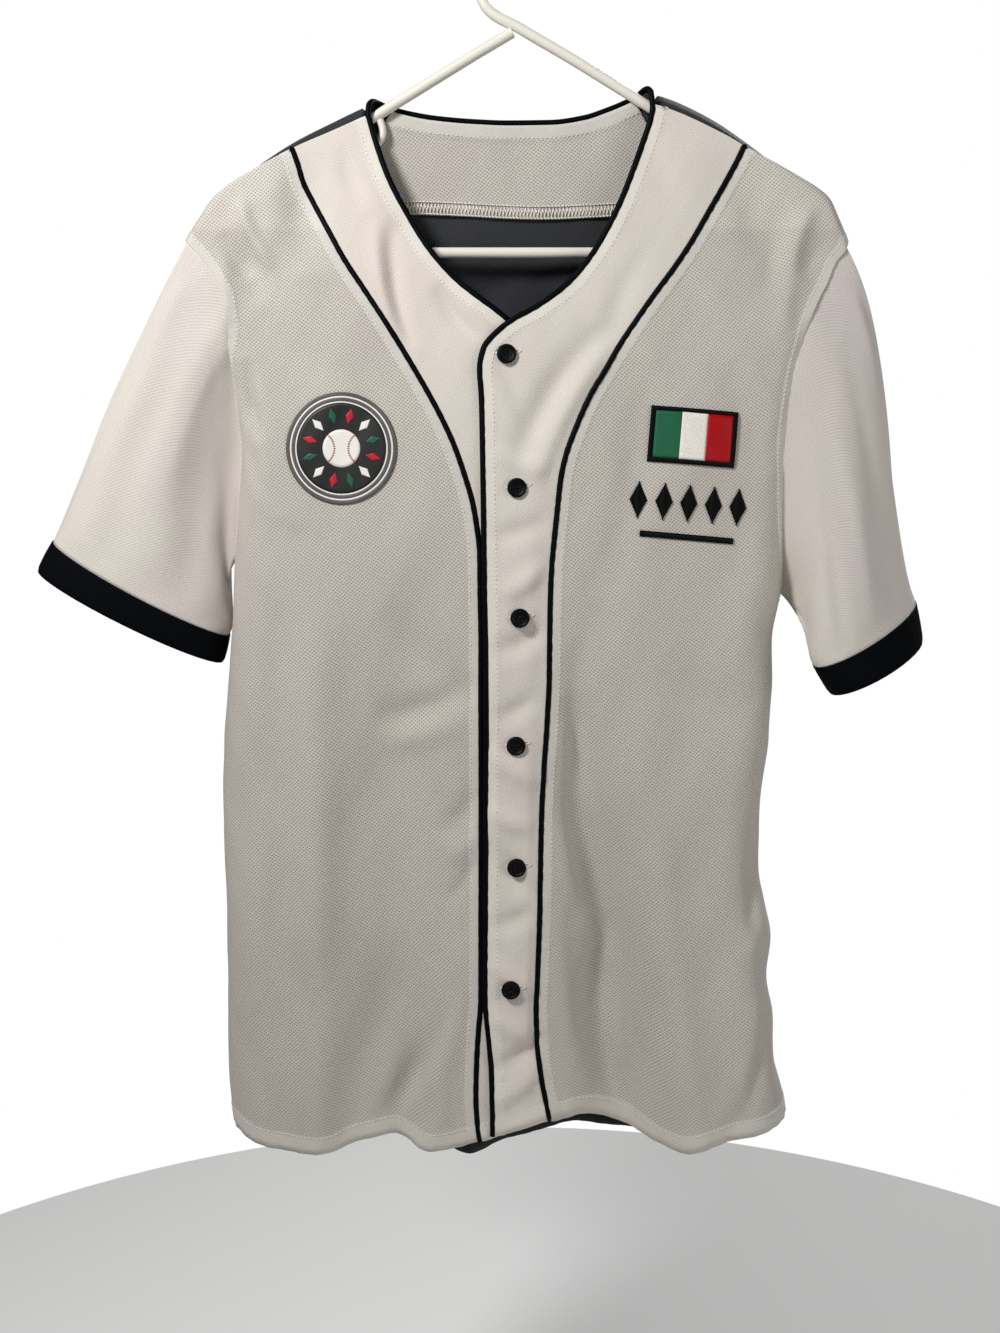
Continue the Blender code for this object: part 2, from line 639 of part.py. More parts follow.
def button(name, across, height):
    """Turned button with a dished face and four holes, flat on the placket."""
    lift = placket_lift(across, height)
    here = skin_out(FRONT, across, height, lift + 0.3)
    normal = (skin_out(FRONT, across, height, lift + 1.3) - here).normalized()
    mesh = bpy.data.meshes.new(name)
    bm = bmesh.new()
    half = BUTTON_THICKNESS / 2
    radius = BUTTON_DIAMETER / 2 * MM
    bmesh.ops.create_cone(
        bm, cap_ends=True, segments=24, radius1=radius, radius2=radius, depth=BUTTON_THICKNESS * MM
    )
    face = max(bm.faces, key=lambda f: f.calc_center_median().z)
    bmesh.ops.inset_region(bm, faces=[face], thickness=BUTTON_RIM * MM, depth=0)
    bmesh.ops.inset_region(bm, faces=[face], thickness=0.5 * MM, depth=-BUTTON_DISH * MM)
    bmesh.ops.translate(bm, verts=bm.verts, vec=(0, 0, half * MM))
    bm.to_mesh(mesh)
    bm.free()
    obj = finish(name, mesh, button_black)
    turned = normal.to_track_quat("Z", "X").to_matrix().to_4x4()
    obj.matrix_world = Matrix.Translation(here * MM) @ turned
    holes = bpy.data.meshes.new(name + "_holes")
    bm = bmesh.new()
    for k in range(4):
        turn = math.pi / 4 + k * math.pi / 2
        place = Vector((BUTTON_HOLE_CIRCLE * math.cos(turn), BUTTON_HOLE_CIRCLE * math.sin(turn), half))
        radius = BUTTON_HOLE_RADIUS * MM
        bmesh.ops.create_cone(
            bm, cap_ends=True, segments=8, radius1=radius, radius2=radius, depth=6 * MM,
            matrix=Matrix.Translation(place * MM),
        )
    bm.to_mesh(holes)
    bm.free()
    cutter = bpy.data.objects.new(name + "_holes", holes)
    cutters.objects.link(cutter)
    cutter.hide_render = True
    cutter.display_type = "WIRE"
    cutter.matrix_world = obj.matrix_world
    cut = obj.modifiers.new("Holes", "BOOLEAN")
    cut.object = cutter
    cut.operation = "DIFFERENCE"
    cut.solver = "EXACT"


def plate(name, centre, half_sizes, tilt, columns, rows, material, wall, out, outline=None):
    """Thin piece laid on the front, moved out from the skin. Outline changes shares of the half sizes."""
    turn = math.radians(tilt)
    laid = []
    for j in range(rows + 1):
        line = []
        for i in range(columns + 1):
            u, v = 2 * i / columns - 1, 2 * j / rows - 1
            a, b = outline(u, v) if outline else (u, v)
            a, b = a * half_sizes[0], b * half_sizes[1]
            across = centre[0] + a * math.cos(turn) - b * math.sin(turn)
            line.append((across, centre[1] + a * math.sin(turn) + b * math.cos(turn)))
        laid.append([skin_out(FRONT, x, z, out + wall) for x, z in line])
    return loft(name, laid, material, wall)


def disc(name, centre, radius, material, wall, out, rings=4, sides=28):
    """Round piece laid on the front."""
    mesh = bpy.data.meshes.new(name)
    bm = bmesh.new()
    middle = bm.verts.new(skin_out(FRONT, *centre, out + wall) * MM)
    last = None
    for r in range(1, rings + 1):
        ring = []
        for k in range(sides):
            turn = 2 * math.pi * k / sides
            across = centre[0] + radius * r / rings * math.cos(turn)
            height = centre[1] + radius * r / rings * math.sin(turn)
            ring.append(bm.verts.new(skin_out(FRONT, across, height, out + wall) * MM))
        for k in range(sides):
            n = (k + 1) % sides
            inner = (middle,) if last is None else (last[n], last[k])
            bm.faces.new((*inner, ring[k], ring[n]))
        last = ring
    bm.to_mesh(mesh)
    bm.free()
    mesh.shade_smooth()
    obj = finish(name, mesh, material)
    solid = obj.modifiers.new("Wall", "SOLIDIFY")
    solid.thickness = wall * MM
    solid.offset = -1


def diamond(u, v):
    return u, v * max(1 - abs(u), 0.06)


def cord_level(across, height):
    return CORD_LEVEL


def placket_level(across, height):
    return CORD_LEVEL + placket_lift(across, height)


def seam_cord(line, split_height, level):
    """Points of a cord at the rows of the panels on both sides of it."""
    rows = ended_on_seam(FRONT, rows_of(line, split_height))
    return [skin_out(FRONT, x, z, level(x, z)) for x, z in rows]


def arm_points(side):
    points = [(side * x, 0, z) for x, z in ARM]
    for k in range(9):
        turn = math.radians(58 - (58 + 90) * k / 8)
        x = ARM_END_CENTRE[0] + ARM_END_RADIUS * math.cos(turn)
        points.append((side * x, 0, ARM_END_CENTRE[1] + ARM_END_RADIUS * math.sin(turn)))
    return points


clear_scene()
jersey = bpy.data.collections.new("Baseball jersey")
bpy.context.scene.collection.children.link(jersey)

mesh_white = make_material("mesh_knit_grey_white", (0.50, 0.50, 0.46), 0.85)
band_white = make_material("smooth_knit_white", (0.73, 0.68, 0.65), 0.8)
sleeve_white = make_material("fine_knit_white", (0.75, 0.70, 0.70), 0.8)
back_black = make_material("knit_black", (0.012, 0.013, 0.016), 0.75)
trim_black = make_material("satin_trim_black", (0.004, 0.005, 0.007), 0.55)
button_black = make_material("button_black", (0.006, 0.006, 0.007), 0.3)
badge_charcoal = make_material("badge_charcoal_transfer", (0.05, 0.045, 0.042), 0.5)
flag_green = make_material("flag_green", (0.01, 0.12, 0.06), 0.75)
flag_white = make_material("flag_white", (0.80, 0.77, 0.72), 0.75)
flag_red = make_material("flag_red", (0.42, 0.0, 0.008), 0.75)
hanger_white = make_material("hanger_warm_white", (0.75, 0.72, 0.66), 0.35)

loft("front_panel_left", skinned(FRONT, front_panel(LEFT)), mesh_white, CLOTH_WALL)
loft("front_panel_right", skinned(FRONT, front_panel(RIGHT)), mesh_white, CLOTH_WALL)
loft("front_band_left", skinned(FRONT, front_band(LEFT)), band_white, CLOTH_WALL)
loft("front_band_right", skinned(FRONT, front_band(RIGHT), placket_lift), band_white, CLOTH_WALL)
loft("back_panel", skinned(BACK, back_panel()), back_black, CLOTH_WALL)
loft("neck_facing", skinned(BACK, neck_facing(), lambda x, z: -CLOTH_WALL - 1.0), mesh_white, 1.0)
for side, word in ((LEFT, "left"), (RIGHT, "right")):
    sleeve, cuff = sleeve_rows(side), cuff_rows(side)
    if side == RIGHT:
        sleeve, cuff = [row[::-1] for row in sleeve], [row[::-1] for row in cuff]
    loft("sleeve_" + word, sleeve, sleeve_white, CLOTH_WALL, closed=True)
    loft("cuff_" + word, cuff, trim_black, CUFF_WALL, closed=True)

cutters = bpy.data.collections.new("Cutters")
bpy.context.scene.collection.children.link(cutters)

tube("piping_princess_left", seam_cord(PRINCESS_LEFT, -442, cord_level), PIPING_RADIUS, trim_black)
tube("piping_princess_right", seam_cord(PRINCESS_RIGHT, -442, cord_level), PIPING_RADIUS, trim_black)
neck_lengths = measured(NECK_BACK)
neck_line = [spline_point(NECK_BACK, neck_lengths, neck_lengths[-1] * share) for share in NECK_SHARES]
neck_cord = [skin_out(BACK, x, z, NECK_CORD_LEVEL) for x, z in neck_line]
edge_right = seam_cord(EDGE_RIGHT, -430, placket_level)
edge_left = [point for point in seam_cord(EDGE_LEFT, -430, cord_level) if point.z > -276]
tube("piping_neck_and_placket", edge_right + neck_cord[::-1] + edge_left[::-1], PIPING_RADIUS, trim_black)

for number, (across, height) in enumerate(BUTTONS, 1):
    button("button_" + str(number), across, height)

right_arm, left_arm = arm_points(RIGHT), arm_points(LEFT)
hook = [(x, 0, z) for x, z in HOOK]
bar_height = right_arm[-1][2]
bar = [(60, 0, bar_height), (-60, 0, bar_height)]
tube("hanger", hook + right_arm + bar + left_arm[::-1] + [ARM_JOINT], TUBE_RADIUS, hanger_white, sides=2)
for side, word in ((LEFT, "left"), (RIGHT, "right")):
    strap = [(side * x, 0, z) for x, z in STRAP_HOOK]
    tube("hanger_strap_hook_" + word, strap, STRAP_HOOK_RADIUS, hanger_white, sides=1)

disc("badge", BADGE_CENTRE, BADGE_RADIUS, badge_charcoal, BADGE_WALL, PATCH_LIFT)
plate("flag_patch", FLAG_CENTRE, FLAG_HALF, FLAG_TILT, 8, 5, trim_black, PATCH_WALL, PATCH_LIFT)
for word, place, cloth in (("left", -1, flag_green), ("middle", 0, flag_white), ("right", 1, flag_red)):
    turn = math.radians(FLAG_TILT)
    across = FLAG_CENTRE[0] + place * FLAG_STRIPE * math.cos(turn)
    height = FLAG_CENTRE[1] + place * FLAG_STRIPE * math.sin(turn)
    half = ((FLAG_STRIPE - STRIPE_GAP) / 2, FLAG_HALF[1] - FLAG_BORDER)
    plate("flag_stripe_" + word, (across, height), half, FLAG_TILT, 3, 4, cloth, STRIPE_WALL, STRIPE_LIFT)
for number, place in enumerate(MOTIF, 1):
    name = "motif_diamond_" + str(number)
    plate(name, place, DIAMOND_HALF, DIAMOND_TILT, 8, 2, trim_black, PATCH_WALL, PATCH_LIFT, diamond)
plate("motif_bar", MOTIF_BAR, MOTIF_BAR_HALF, -5, 10, 1, trim_black, PATCH_WALL, PATCH_LIFT)
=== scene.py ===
import math

import bmesh
import bpy
import numpy as np
from mathutils import Matrix, Vector


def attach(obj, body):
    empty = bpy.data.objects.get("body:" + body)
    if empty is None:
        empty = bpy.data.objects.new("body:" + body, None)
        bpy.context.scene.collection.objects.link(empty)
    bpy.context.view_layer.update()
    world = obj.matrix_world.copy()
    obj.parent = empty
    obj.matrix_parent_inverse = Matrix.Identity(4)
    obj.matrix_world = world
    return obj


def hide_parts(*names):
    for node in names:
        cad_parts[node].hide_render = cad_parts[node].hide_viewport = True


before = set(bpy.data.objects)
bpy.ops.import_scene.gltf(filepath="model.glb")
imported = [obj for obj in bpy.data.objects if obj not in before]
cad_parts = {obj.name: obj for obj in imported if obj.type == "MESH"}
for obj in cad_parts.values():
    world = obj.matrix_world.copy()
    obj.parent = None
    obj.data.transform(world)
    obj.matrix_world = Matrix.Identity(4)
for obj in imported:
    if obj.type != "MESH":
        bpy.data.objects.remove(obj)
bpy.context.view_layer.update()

# A baseball jersey with short sleeves, buttoned and hung on a plastic tube hanger.
# Left and right are the viewer's. Lengths are in millimetres until a mesh is made.
mm = 0.001
left, right = -1, 1
front, back = -1, 1

body = {
    "wall": 1.0,
    # mark of cloth that lies far from any seam
    "noSeam": 50.0,
    "crestRadius": 6.5,
    "sideSeamTurn": math.radians(100),
    "underarm": {left: -445.0, right: -468.0},
    "lowRows": 84,
    "highRows": 86,
    "lowShare": 0.57,
    # shoulder line: across, height
    "crest": [
        (-264, -262), (-250, -234), (-241, -216), (-236, -207), (-230, -198), (-221, -185), (-210, -174.5),
        (-193, -163), (-163, -145.5), (-135, -132.5), (-105.5, -119.5), (-92, -115), (-60, -112), (0, -110),
        (60, -107.5), (80, -107), (92, -111), (109, -116), (141, -130.5), (163, -143.5), (201, -167.5),
        (214, -176.5), (222, -184), (229, -198), (234, -209), (238.5, -221), (250, -248), (264, -276),
    ],
    # how far the shoulder seam lies below the crest, on the front: across, drop
    "shoulderSeam": [
        (-242, 1.2), (-200, 4.0), (-164, 6.4), (-130, 7.9), (-108, 8.4), (0, 8.4), (94, 9.8), (130, 9.6),
        (161, 8.2), (200, 4.4), (240, 1.2),
    ],
    # where the body turns to the side: height, left, right
    "edge": [
        (-905, 218, 208), (-871, 221, 206.5), (-857, 222, 205), (-825, 223, 198), (-791, 223.5, 195.5),
        (-763, 223.6, 190.9), (-734, 223.5, 192.9), (-704, 223.4, 186.9), (-679, 223.4, 182.3),
        (-651, 223.3, 181.8), (-618, 223, 183.6), (-578, 221.5, 189.2), (-542, 218, 190),
        (-504, 214.6, 188.6), (-467, 212, 194), (-430, 209.5, 195), (-401, 207.2, 196.3),
        (-358, 204.8, 199), (-330, 206.3, 202), (-300, 208, 208), (-280, 212, 216), (-259, 225, 229),
        (-241, 237, 239), (-215, 252, 250), (-105, 268, 268),
    ],
    # half depths: height, front at the side, front in the middle, back at the side, back in the middle
    "depth": [
        (-905, 30, 36, 42, 40), (-750, 28, 34, 40, 40), (-600, 26, 32, 38, 40), (-467, 24, 31, 35, 38),
        (-400, 22.5, 29, 32, 34), (-330, 20, 26, 26, 28), (-280, 17, 22, 20, 22), (-241, 12, 18, 14, 18),
        (-215, 10, 15, 11, 16), (-150, 8, 10, 9, 11), (-105, 7, 7, 7, 8),
    ],
    # large folds of each face: start height, end height, start across, end across, half width, rise,
    # 1 when it also dies out at its lower end
    "folds": {
        front: [
            (-690, -900, -42, -70, 15, 10, 0), (-700, -900, -54, -93, 13, -6, 0),
            (-590, -900, -38, -138, 20, -5, 0), (-400, -720, -146, -152, 18, 10, 0),
            (-400, -720, -92, -86, 40, -13, 0), (-490, -720, 38, 60, 15, -8, 0),
            (-470, -930, 43, 97, 27, -25, 0), (-490, -900, 78, 130, 18, 9, 0),
            (-680, -905, 150, 163, 14, -4, 0), (-146, -240, -162, -152, 17, -9, 1),
            (-150, -236, 168, 172, 15, -6, 1), (-450, -720, -70, -90, 24, -3, 1),
        ],
        back: [
            (-290, -905, -30, -42, 20, -22, 0), (-300, -905, 34, 46, 24, 16, 0),
            (-320, -905, -88, -102, 22, 14, 0), (-330, -905, -140, -158, 18, -10, 0),
            (-310, -905, 92, 108, 20, -14, 0), (-340, -905, 138, 156, 18, 9, 0),
        ],
    },
    # how deep the smaller creases are pressed, against the table's rises
    "creaseScale": 2.4,
    # smaller creases of each face: start across, start height, end across, end height, half width, rise
    "creases": {
        front: [
            (-108, -562, -30, -532, 9, -1.6), (-104, -580, -34, -556, 9, 1.2),
            (-98, -476, -34, -548, 14, -1.2), (-62, -650, -31, -612, 7, -1.2),
            (-52, -668, -31, -640, 6, 1.3), (-56, -700, -33, -664, 5, -1.0),
            (-150, -430, -146, -640, 14, 1.0), (-176, -560, -172, -880, 12, 0.9),
            (-197, -300, -189, -358, 7, -2.2), (-200, -352, -172, -412, 5, -1.3),
            (-192, -372, -160, -424, 7, 1.0), (-206, -196, -200, -334, 8, 1.6),
            (-190, -190, -186, -262, 9, -1.6), (-202, -182, -176, -238, 6, 2.4),
            (-214, -210, -192, -242, 7, -2.0), (214, -186, 190, -240, 6, 1.2),
            (222, -212, 204, -246, 7, -0.8), (-182, -262, -120, -322, 12, -0.9),
            (-112, -880, -44, -744, 8, -1.6), (-98, -884, -52, -790, 6, 1.2), (44, -500, 58, -640, 8, -1.6),
            (30, -560, 60, -640, 8, 1.2), (34, -640, 72, -760, 9, 1.3), (41, -688, 70, -850, 8, -1.5),
            (66, -730, 98, -876, 9, 2.0), (45, -540, 63, -727, 9, -2.8), (61, -710, 87, -884, 10, -3.4),
            (86, -660, 120, -872, 16, 1.2), (112, -720, 132, -880, 10, -1.0),
            (184, -640, 189, -760, 8, -1.8), (172, -744, 187, -700, 7, 1.2), (146, -880, 180, -760, 9, 1.3),
            (158, -886, 186, -800, 6, -1.0), (60, -470, 84, -300, 14, -1.1), (86, -430, 150, -330, 16, 0.9),
            (150, -300, 186, -380, 12, -1.2), (206, -196, 190, -300, 8, 1.5),
            (190, -186, 182, -256, 9, -1.5), (100, -520, 170, -560, 16, -0.8),
            (-92, -206, -76, -292, 5, -2.2), (-102, -200, -86, -290, 6, 1.8),
            (-60, -248, -26, -290, 6, -2.0), (-128, -150, -108, -196, 6, -1.0),
            (-118, -176, -84, -206, 6, 0.8), (60, -276, -6, -388, 9, -2.2), (72, -280, 10, -392, 8, 1.8),
            (88, -222, 62, -300, 9, -0.9), (-14, -300, 16, -356, 7, -1.4), (-16, -470, 20, -446, 6, 1.9),
            (-20, -512, 20, -490, 7, -2.0), (-22, -582, 16, -608, 7, 1.6), (-22, -648, 14, -694, 7, -1.8),
            (-22, -738, 14, -766, 7, 1.7), (-24, -826, 20, -796, 6, -2.0), (-22, -852, 18, -818, 6, 1.9),
            (-20, -560, 14, -542, 6, -1.5), (-24, -626, 12, -640, 6, 1.5), (-22, -716, 12, -700, 6, -1.6),
            (-20, -780, 8, -800, 6, 1.5), (-22, -428, 20, -414, 7, -1.4), (-18, -366, 22, -380, 7, 1.4),
        ],
        back: [
            (-70, -300, -120, -420, 12, -1.8), (60, -290, 126, -400, 13, -1.6),
            (-10, -240, -60, -300, 12, 1.3), (20, -250, 70, -310, 12, 1.4), (-60, -520, -74, -760, 8, 1.6),
            (4, -480, 0, -800, 8, 1.8), (72, -560, 66, -860, 9, -1.8), (-176, -560, -182, -860, 9, 1.4),
            (176, -520, 170, -800, 9, -1.4), (-120, -640, -112, -880, 8, 1.4),
            (118, -700, 126, -890, 8, 1.5), (-24, -700, -12, -890, 8, -1.6),
            (-190, -300, -160, -400, 8, -1.8), (192, -300, 160, -410, 8, -1.8),
        ],
    },
    # armholes: height, turn round the side in degrees
    "armhole": {
        (front, left): [
            (-216.5, -4), (-224, -24), (-241, -20), (-259, 2), (-280, 45), (-300, 72), (-330, 92),
            (-380, 99), (-445, 100),
        ],
        (front, right): [
            (-221.5, -4), (-232, -22), (-247, -8), (-262, 5), (-280, 27), (-315, 42), (-358, 46),
            (-394, 53), (-430, 66), (-468, 100),
        ],
        (back, left): [
            (-216.5, -4), (-228, -22), (-246, -16), (-270, 12), (-300, 38), (-340, 52), (-390, 64),
            (-445, 80),
        ],
        (back, right): [
            (-221.5, -4), (-234, -20), (-250, -8), (-274, 16), (-310, 38), (-360, 50), (-410, 62),
            (-468, 80),
        ],
    },
    # shares of the armhole at which the sleeve's columns start, from the underarm to the tip
    "armholeShares": [
        0, 0.12, 0.24, 0.36, 0.48, 0.59, 0.69, 0.78, 0.855, 0.905, 0.935, 0.955, 0.97, 0.982, 0.992, 1,
    ],
}

# seam lines and hems: across, height
seams = {
    "pipingRoom": 1.5,
    "seamTuck": 2.0,
    "splitHeight": -442,
    "edgeSplit": -430,
    "princess": {
        left: [
            (-29.5, -881), (-31, -870.5), (-32.3, -846), (-31.8, -821), (-30.5, -796), (-28.6, -772),
            (-28.3, -695), (-28.2, -620), (-28.1, -560), (-28, -507), (-28.6, -468.6), (-28.9, -440),
            (-31.5, -416.4), (-34.3, -401.4), (-40, -382.2), (-47.4, -361.3), (-57.1, -340.4),
            (-66.4, -323.3), (-76.3, -306.4), (-97.1, -272.4), (-111.8, -250.7), (-126.1, -229.1),
            (-137, -209.4), (-148.1, -189.6), (-155.3, -175), (-158.7, -162.4), (-163.8, -148.6),
        ],
        right: [
            (22.8, -862), (19.7, -846), (15.9, -826), (13.5, -801), (12.7, -776), (14, -746.5),
            (15.4, -697.5), (16, -649), (17.7, -601.6), (20.1, -566), (21.8, -527), (22, -488),
            (22.6, -459), (24.7, -430), (27.5, -403), (29.3, -386), (33.1, -368.7), (40.7, -348),
            (50.5, -326), (60, -310.3), (71.1, -291.4), (83.8, -272.5), (96.3, -254.8),
            (109.1, -237.7), (121.9, -218.8), (134.6, -196.9), (145.6, -178), (155.2, -160.4),
            (161.3, -147),
        ],
    },
    "edge": {
        left: [
            (3, -869), (3.5, -800), (3, -600), (2.5, -400), (2, -310), (0, -289), (-5, -277),
            (-14.2, -268.5), (-30, -257), (-46.3, -243.6), (-64.1, -223.8), (-79, -200.6),
            (-93.2, -173.8), (-102.4, -148.7), (-106.6, -134), (-108.3, -127),
        ],
        right: [
            (-19.5, -875.5), (-19.6, -857), (-20.2, -832), (-21.7, -807.4), (-23.4, -789.8),
            (-25, -771), (-24.6, -695), (-24.5, -620), (-23.9, -560), (-24.3, -507), (-25.2, -468),
            (-26, -401), (-27.2, -330), (-28.6, -308), (-25.8, -293.5), (-17.8, -283.4),
            (-6.4, -274.2), (10.7, -264.9), (28.5, -252.2), (44.2, -236.3), (58.4, -215.9),
            (71.2, -190.8), (80.7, -167), (86.7, -150.3), (92.6, -132.9), (94.4, -123), (94.2, -118),
        ],
    },
    "neckBack": [
        (-108.5, -108.6), (-105.7, -113.6), (-101.5, -118.3), (-95, -121.2), (-82, -124.8),
        (-61, -128.4), (-32, -130.8), (-10, -131.6), (22.5, -131.2), (46.3, -128), (62.8, -122.8),
        (76, -117.6), (84, -113.6), (89.8, -107.6), (94, -99.2),
    ],
    "hemPanel": {
        left: [
            (-262, -876), (-246, -876.5), (-219, -879), (-205, -884), (-186, -888.5), (-165, -890),
            (-143, -890.4), (-121, -885), (-97, -882), (-84, -885), (-70, -889), (-56, -888),
            (-45, -886), (-29.3, -880.7),
        ],
        right: [
            (22.8, -864), (36, -862), (43.5, -861), (62.5, -867), (83.4, -877.7), (96.4, -886),
            (107, -890.5), (120, -891), (136, -889), (167, -882), (190, -878), (206, -875),
            (232, -871), (262, -870),
        ],
    },
    "hemBand": {
        left: [(-29.3, -880.7), (-14, -876), (3, -871)],
        right: [(-19.5, -875.5), (1.7, -869.7), (11.5, -866.6), (22.8, -864)],
    },
    "hemBack": [
        (-262, -876), (-240, -878), (-200, -885), (-160, -893), (-110, -902), (-60, -910), (-34, -916),
        (-10, -912), (20, -907), (50, -905), (80, -902), (120, -895), (170, -884), (205, -875),
        (232, -871), (262, -870),
    ],
}


def smoothCurve(rows, column=1):
    # a curve through a table that never overshoots its values
    rows = sorted(rows, key=lambda row: row[0])
    xs = np.array([row[0] for row in rows], float)
    ys = np.array([row[column] for row in rows], float)
    step = np.diff(xs)
    slope = np.diff(ys) / step
    before, after = slope[:-1], slope[1:]
    inner = np.zeros(len(xs) - 2)
    same = before * after > 0
    inner[same] = 2 * before[same] * after[same] / (before[same] + after[same])
    slopes = np.concatenate([[0], inner, [0]])

    def at(x):
        x = np.clip(np.asarray(x, float), xs[0], xs[-1])
        i = np.clip(np.searchsorted(xs, x, side="left") - 1, 0, len(step) - 1)
        t = (x - xs[i]) / step[i]
        a, b = slopes[i] * step[i], slopes[i + 1] * step[i]
        p, r = ys[i], ys[i + 1]
        return p + t * (a + t * (3 * (r - p) - 2 * a - b + t * (2 * (p - r) + a + b)))

    return at


def soft(t):
    t = np.clip(t, 0.0, 1.0)
    return t * t * (3 - 2 * t)


def unit(vectors):
    return vectors / np.linalg.norm(vectors, axis=-1, keepdims=True)


crestAt = smoothCurve(body["crest"])
shoulderDrop = smoothCurve(body["shoulderSeam"])
edgeCurves = {left: smoothCurve(body["edge"], 1), right: smoothCurve(body["edge"], 2)}
depthCurves = [smoothCurve(body["depth"], column) for column in (1, 2, 3, 4)]
princessRightAt = smoothCurve([(z, x) for x, z in seams["princess"][right]])
crestLift = body["crestRadius"] * (math.pi / 2 - 1)


def foldRise(face, across, height):
    rise = np.zeros(np.broadcast(across, height).shape)
    for start, end, fromX, toX, halfWidth, depth, closed in body["folds"][face]:
        t = (start - height) / (start - end)
        centre = fromX + (toX - fromX) * np.clip(t, None, 1)
        along = np.sin(math.pi * np.clip(t, 0, 1)) if closed else soft(t * 1.3)
        rise = rise + depth * along * np.exp(-(((across - centre) / halfWidth) ** 2))
    return rise


def creaseRise(face, across, height):
    # smaller creases lie in any direction and fade at both ends
    rise = np.zeros(np.broadcast(across, height).shape)
    for x0, z0, x1, z1, halfWidth, depth in body["creases"][face]:
        run = math.hypot(x1 - x0, z1 - z0)
        ux, uz = (x1 - x0) / run, (z1 - z0) / run
        t = ((across - x0) * ux + (height - z0) * uz) / run
        bow = 0.06 * run * np.sin(math.pi * np.clip(t, 0, 1))
        off = (across - x0) * uz - (height - z0) * ux - bow
        rise = rise + depth * np.sin(math.pi * np.clip(t, 0, 1)) ** 0.8 * np.exp(-((off / halfWidth) ** 2))
    return body["creaseScale"] * rise


# slow unevenness of hanging cloth: wave length across, wave length up, phase, height
flutterWaves = [
    (61, 210, 0.4, 0.34), (-43, 150, 1.9, 0.26), (97, -260, 2.7, 0.40), (-71, 95, 4.1, 0.22),
    (37, 60, 5.2, 0.14), (-29, -85, 0.9, 0.12), (23, 41, 3.3, 0.08), (-19, 33, 2.2, 0.07),
]


def flutter(across, height):
    rise = 0.0
    for waveAcross, waveUp, phase, size in flutterWaves:
        rise = rise + size * np.sin(2 * math.pi * (across / waveAcross + height / waveUp) + phase)
    return rise


def sideOf(side, height):
    radius = (depthCurves[0](height) + depthCurves[2](height)) / 2
    return edgeCurves[side](height), radius


def skin(face, across, height):
    # across runs on round the side, and height runs on over the shoulder
    across, height = np.broadcast_arrays(np.asarray(across, float), np.asarray(height, float))
    crest = crestAt(across)
    down = crest + crestLift - height
    round0 = body["crestRadius"]
    frontSide, frontMiddle, backSide, backMiddle = (curve(height) for curve in depthCurves)
    radius = (frontSide + backSide) / 2
    flat = np.where(across < 0, edgeCurves[left](height), edgeCurves[right](height)) - radius
    outer, middle = (frontSide, frontMiddle) if face == front else (backSide, backMiddle)
    share = np.minimum(np.abs(across) / flat, 1)
    near = 1 - (1 - np.clip((crest - height - round0) / 70, 0, 1)) ** 2
    depth = outer + (middle - outer) * (1 - share**2) ** 2
    depth = depth + foldRise(face, across, height) * (1 - share**8)
    depth = round0 + (depth - round0) * near
    turn = np.maximum(np.abs(across) - flat, 0) / radius
    beyond = np.abs(across) > flat
    x = np.where(beyond, np.sign(across) * (flat + radius * np.sin(turn)), across)
    y = np.where(beyond, outer - radius * (1 - np.cos(turn)), depth)
    over = down < round0 * math.pi / 2
    roll = down / round0
    x = np.where(over, across, x)
    y = np.where(over, round0 * np.sin(roll), y)
    z = np.where(over, crest - round0 * (1 - np.cos(roll)), height)
    return np.stack([x, face * y, z], -1)


def normalAt(face, across, height):
    here = skin(face, across, height)
    normal = unit(np.cross(skin(face, across + 1.0, height) - here, skin(face, across, height + 1.0) - here))
    return here, normal if face == front else -normal


def clothPoint(face, across, height, out=0.0, lively=1.0):
    # a point of the finished cloth: the hung form, its creases and its slow unevenness
    here, normal = normalAt(face, across, height)
    calm = soft((crestAt(across) - height - 4) / 30)
    rise = (creaseRise(face, across, height) + flutter(across, height)) * calm * lively
    return here + normal * (rise + out)[..., None], normal


def placketLift(across, height):
    # the right band lies over the left one, lifted at its free edge and level at its seam
    reach = np.maximum(princessRightAt(height) - 6, 3)
    return 2.6 * (1 - soft((across - 4.5) / reach)) * (1 - soft((height + 276) / 30))


def running(line):
    return np.concatenate([[0], np.cumsum(np.linalg.norm(np.diff(line, axis=0), axis=1))])


def onLine(line, shares):
    lengths = running(line)
    at = shares * lengths[-1]
    return np.stack([np.interp(at, lengths, line[:, k]) for k in (0, 1)], -1)


def evenly(line, count):
    return onLine(line, np.linspace(0, 1, count))


def smoothLine(points, count=1600):
    line = np.array(points, float)
    lengths = running(line)
    at = np.linspace(0, lengths[-1], count)
    return np.stack([smoothCurve(list(zip(lengths, line[:, k])))(at) for k in (0, 1)], -1)


def shifted(line, distance):
    # positive moves it to the right of its direction
    run = unit(np.gradient(line, axis=0))
    return line + distance * np.stack([run[:, 1], -run[:, 0]], -1)


def seamRows(points, splitHeight, distance=0.0):
    # the rows that all the front pieces share, along an upward seam line
    line = shifted(smoothLine(points), distance)
    at = int(np.argmax(line[:, 1] >= splitHeight))
    low = evenly(line[: at + 1], body["lowRows"] + 1)[:-1]
    return np.concatenate([low, evenly(line[at:], body["highRows"] + 1)])


